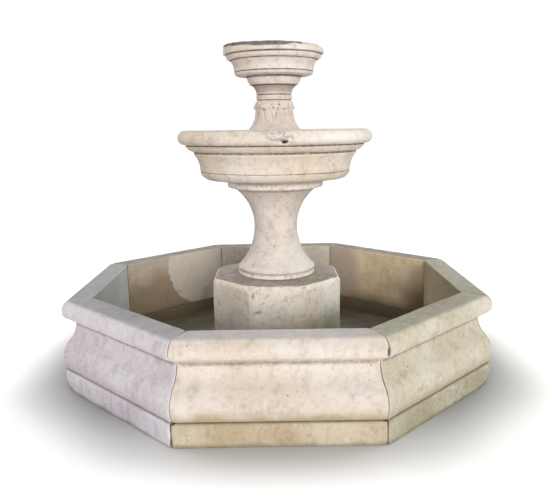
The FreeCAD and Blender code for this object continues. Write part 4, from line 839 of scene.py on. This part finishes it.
def welded_copy(mesh):
    """A copy of a CAD mesh with its seams closed and its extra layers gone."""
    mesh = mesh.copy()
    for key in list(mesh.attributes.keys()):
        layer = mesh.attributes[key]
        if not layer.is_required and not layer.is_internal:
            mesh.attributes.remove(layer)
    bm = bmesh.new()
    bm.from_mesh(mesh)
    bmesh.ops.remove_doubles(bm, verts=bm.verts, dist=1e-5)
    bm.to_mesh(mesh)
    bm.free()
    return mesh


def remeshed_copy(name, node, voxel):
    """A CAD node rebuilt with even faces about voxel across."""
    obj = link_new(name, welded_copy(NODES[node].data))
    remesh = obj.modifiers.new("even", "REMESH")
    remesh.mode = "VOXEL"
    remesh.voxel_size = voxel
    graph = bpy.context.evaluated_depsgraph_get()
    mesh = bpy.data.meshes.new_from_object(obj.evaluated_get(graph))
    mesh.name = name
    obj.modifiers.clear()
    obj.data = mesh
    mesh.shade_smooth()
    set_attribute(mesh, "relief", mesh_relief(mesh, 8) * 1.3)
    return obj


def block_stains(g, colour):
    """Water marks and painted shade, algae and knocked spots: darker and greener towards the floor and on
    the right.
    """
    z = g.axis(g.place, 2)
    # Water marks and painted shade, darker towards the floor.
    level = g.plus(z, g.about(4, 5, 0.6, 3, 0.3))
    colour = g.over(colour, (186, 174, 148), level, 0.16, 0.42, 0.45, 0)
    blots = g.noise(24, 5, 0.7, 9)
    colour = g.over(colour, (180, 158, 128), blots, 0.54, 0.64, 0, 0.42)
    specks = g.noise(90, 4, 0.7, 4)
    colour = g.over(colour, (150, 130, 104), specks, 0.56, 0.66, 0, 0.3)
    colour = g.over(colour, (255, 246, 228), specks, 0.34, 0.44, 0.4, 0)
    for patch in BLOCK_PATCHES:
        colour = g.patch(colour, *patch)
    # Water marks and painted shade at the foot, beside the pool floor.
    return g.over(colour, (92, 86, 66), z, 0, 0.09, 0.7, 0)


def pedestal():
    """The eight-sided block that carries the column."""
    obj = remeshed_copy("eight_sided_pedestal_stone", "pedestal_block", 0.0068)
    weather(obj, 160, waves=0.0014, grit=0.0009, wear=0.003, chips=0.007)
    for knock in BLOCK_KNOCKS:
        dent(obj, *knock)
    marks = dict(patina=0.95, streaks=0.25, crown=BROWN_TOP, mottle=1.1, extra=block_stains)
    stone = limestone("pedestal_stone", BLOCK_TONES, 57, **marks)
    stand_for("pedestal_block", obj, stone)


pedestal()

# -------- column

COLUMN_TONES = ((243, 230, 213), (229, 214, 194), (158, 140, 120))


def column_spacing(points):
    hidden = (points[:, 0] < PASSAGE) | (points[:, 1] < BLOCK_TOP + 0.002)
    return np.where(hidden, 0.04, 0.009)


def column_hold(points):
    """Keeps the two bearing faces of the column flat."""
    z = points[:, 2:]
    foot = 1 - ease(z, COLUMN_FOOT, COLUMN_FOOT + 0.004)
    return np.maximum(foot, ease(z, COLUMN_HEAD - 0.004, COLUMN_HEAD))


def column_marks(g, colour):
    """Pale rings with brown blots at neck and foot, the neck's paled as painted light against the shade
    under the bowl, a band of dirt and painted shade at the top of the neck ring, and a green-grey bloom on
    the right of the foot.
    """
    z = g.axis(g.place, 2)
    blots = g.ease(g.noise(34, 4, 0.65, 6), 0.5, 0.66)
    blotched = g.mix(blots, (255, 243, 226), (176, 154, 130))
    # Painted light: the neck ring is paled, with its brown blots, against the shade under the bowl.
    colour = g.over(colour, blotched, z, 1.088, 1.096, 0, 0.6)
    colour = g.over(colour, blotched, z, 0.572, 0.586, 0.6, 0)
    # Dirt and painted shade under the bowl darken the top of the neck ring.
    dirt_and_shade_under_bowl = g.ease(g.noise(12, 4, 0.6, 2), 0.3, 0.6, 0.2, 0.6)
    colour = g.mix(g.times(g.ease(z, 1.118, 1.134), dirt_and_shade_under_bowl), colour, (158, 134, 112))
    return g.patch(colour, (232, 232, 214), 0.7, (0.2, -0.14, 0.64), (0.2, 0.22, 0.3), 0.5, 3, 0.8)


def column():
    """The waisted column with its foot ring and neck ring."""
    obj = turned_stone("waisted_column_stone", "lower_column", 0.002, column_spacing, 200, 0.2)
    weather(obj, 210, waves=0.0018, grit=0.0009, wear=0.003, chips=0.007, hold=column_hold)
    marks = dict(streaks=0.3, hollow_dirt_and_shade=0.3, mottle=1.3, extra=column_marks)
    stone = limestone("column_stone", COLUMN_TONES, 71, **marks)
    stand_for("lower_column", obj, stone)


column()

# -------- middle bowl

BOWL_TONES = ((236, 224, 206), (226, 208, 180), (164, 144, 116))


def middle_spacing(points):
    bedded = (points[:, 1] < BOWL_FOOT + 0.005) & (points[:, 0] < 0.29)
    return np.where((points[:, 0] < PASSAGE) | bedded, 0.05, 0.0085)


def crust(g, colour):
    """Lip of the middle bowl: grey lime crust with a dark hole at the front, and a painted highlight to the
    right.
    """
    lumps = g.ease(g.noise(38, 5, 0.7, 4), 0.4, 0.6)
    lime = g.mix(lumps, (150, 146, 132), (236, 230, 216))
    colour = g.patch(colour, lime, 0.7, (0.018, -0.575, 1.405), (0.085, 0.06, 0.034), 0.8, 3)
    colour = g.patch(colour, (112, 104, 90), 0.5, (0.012, -0.585, 1.392), (0.05, 0.05, 0.009), 0.7, 8)
    colour = g.patch(colour, (62, 48, 42), 1, (0.05, -0.59, 1.38), (0.023, 0.05, 0.012), 0.5, 6)
    # Painted highlight: a pale bloom on the right of the lip.
    return g.patch(colour, (250, 244, 232), 0.6, (0.36, -0.46, 1.405), (0.3, 0.32, 0.06), 0.4, 9, 0.9)


def middle_bowl():
    """The wide middle bowl, its lip knocked and holed at the front."""
    obj = turned_stone("middle_bowl_stone", "middle_bowl", 0.0012, middle_spacing, 330)
    weather(obj, 240, waves=0.0016, grit=0.0007, wear=0.0016, chips=0.007)
    dent(obj, (0.02, -0.6, 1.405), (0.07, 0.06, 0.032), 0.008, 5, (0, 1, 0), 0.3)
    dent(obj, (0.05, -0.595, 1.38), (0.026, 0.05, 0.014), 0.02, 8, (0, 1, 0.1), 0)
    stone = limestone("middle_bowl_stone", BOWL_TONES, 83, patina=0.25, mottle=1.5, extra=crust)
    stand_for("middle_bowl", obj, stone)


middle_bowl()

# -------- top bowl

TOP_TONES = ((232, 220, 205), (222, 206, 185), (154, 138, 118))
# Height of a painted shadow line under the neck.
NECK_SHADOW_LINE = 1.7045


def top_spacing(points):
    return np.where(points[:, 0] < PASSAGE, 0.03, 0.0065)


def rub_top_rim(obj):
    """The right of the top rim is worn to a rounded shoulder and the left stands slightly higher."""
    points = points_of(obj.data)
    turn = np.arctan2(points[:, 1], points[:, 0])
    side = ease(np.cos(turn + 0.35), 0.45, 0.95)
    outer = ease(np.hypot(points[:, 0], points[:, 1]), 0.272, 0.302)
    high = ease(points[:, 2], 1.893, 1.926)
    points[:, 2] += 0.006 * ease(-points[:, 0], 0, 0.28) * high - 0.02 * side * outer * high
    ragged = 0.004 * fractal(points, 0.07, 3, 2) * ease(points[:, 2], 1.9, 1.925)
    points[:, 2] -= np.abs(ragged)
    move_points(obj.data, points)


def top_bowl_marks(g, colour):
    """A dark band along the outer top edge, thickest left of the front, brown painted shade under the neck
    and a painted shadow line at the neck.
    """
    x, z = g.axis(g.place, 0), g.axis(g.place, 2)
    fade = g.plus(g.ease(x, 0.04, 0.26, 0, 0.036), g.ease(x, -0.3, -0.06, 0.014, 0))
    fade = g.times(fade, g.ease(g.noise(14, 3, 0.6, 8), 0.3, 0.6, 0.5, 1.4))
    level = g.minus(g.plus(z, g.about(9, 4, 0.6, 5, 0.014)), fade)
    # A mottled dark band along the outer top edge.
    band_mottle = g.ease(g.noise(30, 4, 0.6, 2), 0.35, 0.65)
    dark = g.mix(band_mottle, (78, 71, 67), (116, 108, 100))
    colour = g.over(colour, dark, level, 1.9, 1.907, 0, 0.92)
    # Brown painted shade on the ogee under the neck.
    under = g.times(g.ease(z, 1.652, 1.668), g.ease(z, 1.702, 1.71, 0.62, 0))
    colour = g.mix(under, colour, (176, 158, 140))
    # A painted shadow line at the neck.
    seam = g.ease(g.math("ABSOLUTE", g.minus(z, NECK_SHADOW_LINE)), 0.0015, 0.0045, 0.85, 0)
    return g.mix(seam, colour, (104, 84, 66))


def top_bowl():
    """The small top bowl with its neck and collar."""
    obj = turned_stone("top_bowl_stone", "top_bowl", 0.0009, top_spacing, 240)
    weather(obj, 270, waves=0.0014, grit=0.0006, wear=0.0012, chips=0.005)
    rub_top_rim(obj)
    stone = limestone("top_bowl_stone", TOP_TONES, 97, patina=0.5, mottle=1.2, extra=top_bowl_marks)
    stand_for("top_bowl", obj, stone)


top_bowl()

# -------- carved stem

STEM_TONES = ((236, 222, 205), (222, 205, 186), (158, 140, 122))
LEAVES = 6
# Drilled eyes of a narrow leaf: degrees from its middle, and height.
EYES = ((-8, 1.572), (6.5, 1.566), (-12, 1.592), (11, 1.59))
# Roughly the metres for each degree round the stem.
DEGREE = 0.002


def stem_spacing(points):
    return np.where((points[:, 0] < PASSAGE) | (points[:, 1] < 1.335), 0.03, 0.0032)


def from_leaf(turn, start, number, cell, seed):
    """Degrees from the middle of a leaf, which stands slightly off its even place."""
    wobble = (hashed(np.array([[number, *cell]]), seed)[0] - 0.5) * 8
    centre = start + number * 360 / LEAVES + wobble
    return (np.degrees(turn) - centre + 180) % 360 - 180


def broad_leaves(turn, z):
    """How far out and down the skin goes for broad leaves with a folded middle and a rolled tip."""
    head = ease(z, 1.53, 1.575)
    out = -0.005 * head
    down = np.zeros(len(z))
    for number in range(LEAVES):
        off = from_leaf(turn, -60, number, (3, 1), 5)
        half = 29 - 14 * ease(z, 1.5, 1.6)
        out += 0.005 * head * (1 - ease(np.abs(off) / half, 0.75, 1))
        seam = (np.abs(off) - half) / 2
        out -= 0.0042 * np.exp(-(seam**2)) * (1 - head) * ease(z, 1.45, 1.51)
        fold = (off - 10 * (1 - ease(z, 1.45, 1.56))) / 3
        out -= 0.003 * np.exp(-(fold**2)) * ease(z, 1.47, 1.5) * (1 - ease(z, 1.55, 1.57))
        middle = np.exp(-((off / 11) ** 4))
        tip = middle * ease(z, 1.56, 1.582) * (1 - ease(z, 1.59, 1.604))
        out += 0.0055 * tip
        down += 0.007 * tip
        out -= 0.003 * middle * ease(z, 1.545, 1.557) * (1 - ease(z, 1.56, 1.57))
    return out, down


def narrow_leaves(turn, z):
    """How far the skin goes out for narrow leaves between the broad ones, and in for drilled eyes."""
    out = np.zeros(len(z))
    for number in range(LEAVES):
        off = from_leaf(turn, -90, number, (7, 2), 9)
        out += 0.004 * ease(z, 1.54, 1.575) * (1 - ease(np.abs(off) / 8, 0.5, 1))
        for side, height in EYES:
            eye = np.hypot((off - side) * DEGREE, z - height)
            out -= 0.0045 * (1 - ease(eye, 0.002, 0.008))
    return out


def carve_leaves(obj):
    """Cuts the leaves into the turned stem, clear of its pipe passage, foot and head."""
    mesh = obj.data
    points = points_of(mesh)
    radius = np.hypot(points[:, 0], points[:, 1])
    turn = np.arctan2(points[:, 1], points[:, 0])
    z = points[:, 2]
    skin = ease(radius, 0.07, 0.09) * ease(z, 1.43, 1.46) * (1 - ease(z, 1.606, 1.612))
    out, down = broad_leaves(turn, z)
    out += narrow_leaves(turn, z)
    points[:, :2] *= ((radius + out * skin) / np.maximum(radius, 1e-6))[:, None]
    points[:, 2] -= down * skin
    move_points(mesh, points)
    set_attribute(mesh, "relief", np.maximum(mesh_relief(mesh, 7) * 1.8, -0.001))


def stem():
    """The short stem between the bowls, carved with leaves."""
    obj = turned_stone("leaf_carved_stem_stone", "carved_stem", 0.0014, stem_spacing, 240)
    carve_leaves(obj)
    weather(obj, 300, waves=0.0012, grit=0.0007, wear=0.0012, chips=0.002)
    stone = limestone("stem_stone", STEM_TONES, 111, patina=0.3, streaks=0.3)
    stand_for("carved_stem", obj, stone)


stem()

# -------- CAD parts carried over

MOSSY = dict(depth=0.0015, dirt=(70, 74, 54), dirt_share=0.6)
VERDIGRIS = dict(metal=0.85, dirt=(86, 128, 112), dirt_share=0.75)
# The finish of every other CAD part, by the parts that share it.
FINISHES = {
    "bed_mortar": MORTAR,
    "basin_floor": plain("pool_floor_stone", (100, 92, 78), (80, 74, 62), 5, 0.85, **MOSSY),
    "floor_sealant": plain("sealant_grey", (92, 92, 88), (74, 74, 70), 22, 0.6, dirt=(70, 78, 56)),
    "plinth_cramps dowels grille_screws volute_screws hose_clamps": plain(
        "stainless_steel", (176, 176, 174), (150, 150, 148), 40, 0.34, metal=1, depth=0.0001
    ),
    "pump_stator": plain("laminated_steel", (120, 122, 126), (92, 94, 98), 60, 0.4, metal=1, depth=0.0001),
    "access_grille drain_fitting overflow_standpipe overflow_strainer": plain(
        "weathered_bronze", (112, 84, 52), (84, 66, 44), 14, 0.5, **VERDIGRIS
    ),
    "valve_body valve_gland_nut riser_nut top_bowl_flange bubbler_nozzle": plain(
        "aged_brass", (168, 132, 72), (132, 102, 58), 22, 0.38, metal=1, dirt=(104, 96, 70)
    ),
    "riser_pipe": plain(
        "aged_copper", (150, 92, 66), (116, 76, 58), 16, 0.42, metal=0.9, dirt=(96, 134, 116)
    ),
    "valve_ball valve_lever": plain(
        "polished_chrome", (206, 208, 210), (190, 192, 194), 30, 0.14, metal=1, depth=0.00005
    ),
    "lever_grip": plain(
        "red_vinyl", (168, 36, 30), (146, 30, 28), 40, 0.45, dirt=(96, 60, 48), dirt_share=0.3
    ),
    "pump_feet top_bowl_gasket drain_gasket volute_seal conduit_plug delivery_hose": plain(
        "black_rubber", (34, 34, 34), (46, 45, 43), 30, 0.8, dirt=(84, 80, 70), dirt_share=0.3
    ),
    "power_cable": plain(
        "cable_sheath", (30, 30, 32), (40, 40, 42), 60, 0.55, dirt=(88, 84, 70), dirt_share=0.3
    ),
    "pump_volute intake_strainer pump_rear_cap cable_gland": plain(
        "black_plastic", (38, 39, 41), (50, 51, 52), 34, 0.5, dirt=(96, 92, 78), dirt_share=0.3
    ),
    "pump_motor_housing pump_cradle cable_conduit": plain(
        "grey_plastic", (124, 126, 126), (106, 108, 108), 26, 0.5, dirt=(92, 90, 70), dirt_share=0.45
    ),
    "pump_rotor": plain("rotor_resin", (58, 74, 84), (46, 60, 70), 40, 0.4),
    "rotor_bushings": plain("ceramic_bush", (226, 224, 216), (208, 206, 198), 50, 0.25),
}
for nodes, material in FINISHES.items():
    for node in nodes.split():
        paint(NODES[node], material)

# -------- floor, light and camera


def ground():
    """A flat pale floor with a painted shadow round the pool on top of the lamps' own, darkest beside its
    left and right.
    """
    half = 60
    mesh = bpy.data.meshes.new("studio_floor")
    corners = [(-half, -half, 0), (half, -half, 0), (half, half, 0), (-half, half, 0)]
    mesh.from_pydata(corners, [], [(0, 1, 2, 3)])
    obj = link_new("studio_floor", mesh)
    g = Graph(bpy.data.materials.new("studio_white"))
    wide, deep = (g.math("ABSOLUTE", g.axis(g.place, k)) for k in (0, 1))
    slant = g.times(g.plus(wide, deep), math.sqrt(0.5))
    reach = g.math("SMOOTH_MAX", wide, deep, 0.4)
    reach = g.math("SMOOTH_MAX", reach, slant, 0.4)
    # Painted shadow: grey beside the left and right of the pool, fading to white away from it.
    painted_side_shadow = g.over((208, 208, 209), (150, 150, 151), wide, 0.45, 1)
    shade = g.over(painted_side_shadow, (252, 252, 252), reach, 1.15, 1.66)
    paint(obj, g.finish(shade, 0.95, shine=0))


def soft_sun(name, direction, spread, strength, colour):
    """Broad even light. direction points towards it."""
    data = bpy.data.lights.new(name, "SUN")
    data.energy = strength
    data.angle = math.radians(spread)
    data.color = colour
    obj = link_new(name, data)
    obj.rotation_euler = (-Vector(direction)).to_track_quat("-Z", "Y").to_euler()


def daylight():
    """Soft light from all round, strongest from the front. The camera itself sees plain white."""
    world = bpy.data.worlds.new("studio")
    bpy.context.scene.world = world
    g = Graph(world, "ShaderNodeOutputWorld", "Generated")
    x, y = g.axis(g.place, 0), g.axis(g.place, 1)
    colour = g.over((0.25, 0.25, 0.25, 1), (0.25, 0.25, 0.285, 1), g.times(x, -1), 0.1, 0.9)
    colour = g.over(colour, (0.3, 0.31, 0.27, 1), x, 0.1, 0.9)
    colour = g.over(colour, (0.8, 0.79, 0.775, 1), g.times(y, -1), 0.15, 0.95)
    lighting = g.make("ShaderNodeBackground", {0: colour, 1: 1})
    seen = g.make("ShaderNodeBackground", {0: (1, 1, 1, 1), 1: 1})
    path = g.make("ShaderNodeLightPath")
    choice = {0: path.outputs["Is Camera Ray"], 1: lighting.outputs[0], 2: seen.outputs[0]}
    g.feed(g.output.inputs[0], g.make("ShaderNodeMixShader", choice).outputs[0])


def main_camera():
    """A camera just left of the middle, 1.45 m up and tilted 11 degrees down."""
    obj = link_new("camera", bpy.data.cameras.new("camera"))
    obj.data.lens = 40.7
    obj.data.sensor_width = 36
    obj.data.clip_end = 200
    heading = Matrix.Rotation(math.radians(-0.21), 4, "Z")
    tilt = Matrix.Rotation(math.radians(90 - 11.06), 4, "X")
    roll = Matrix.Rotation(math.radians(-0.78), 4, "Z")
    obj.matrix_world = Matrix.Translation((-0.0154, -3.894, 1.453)) @ heading @ tilt @ roll
    scene = bpy.context.scene
    scene.camera = obj
    scene.view_settings.view_transform = "Standard"
    scene.view_settings.look = "None"


ground()
daylight()
soft_sun("key_light", (0.22, -1, 0.17), 28, 2.5, (1, 0.98, 0.96))
soft_sun("left_light", (-1, 0.8, 1.25), 42, 1.4, (0.97, 0.97, 1))
soft_sun("right_light", (1, 0.8, 1.25), 42, 1.4, (1, 1, 0.98))
soft_sun("back_light", (0, 1, 1.3), 42, 0.5, (1, 1, 1))
main_camera()
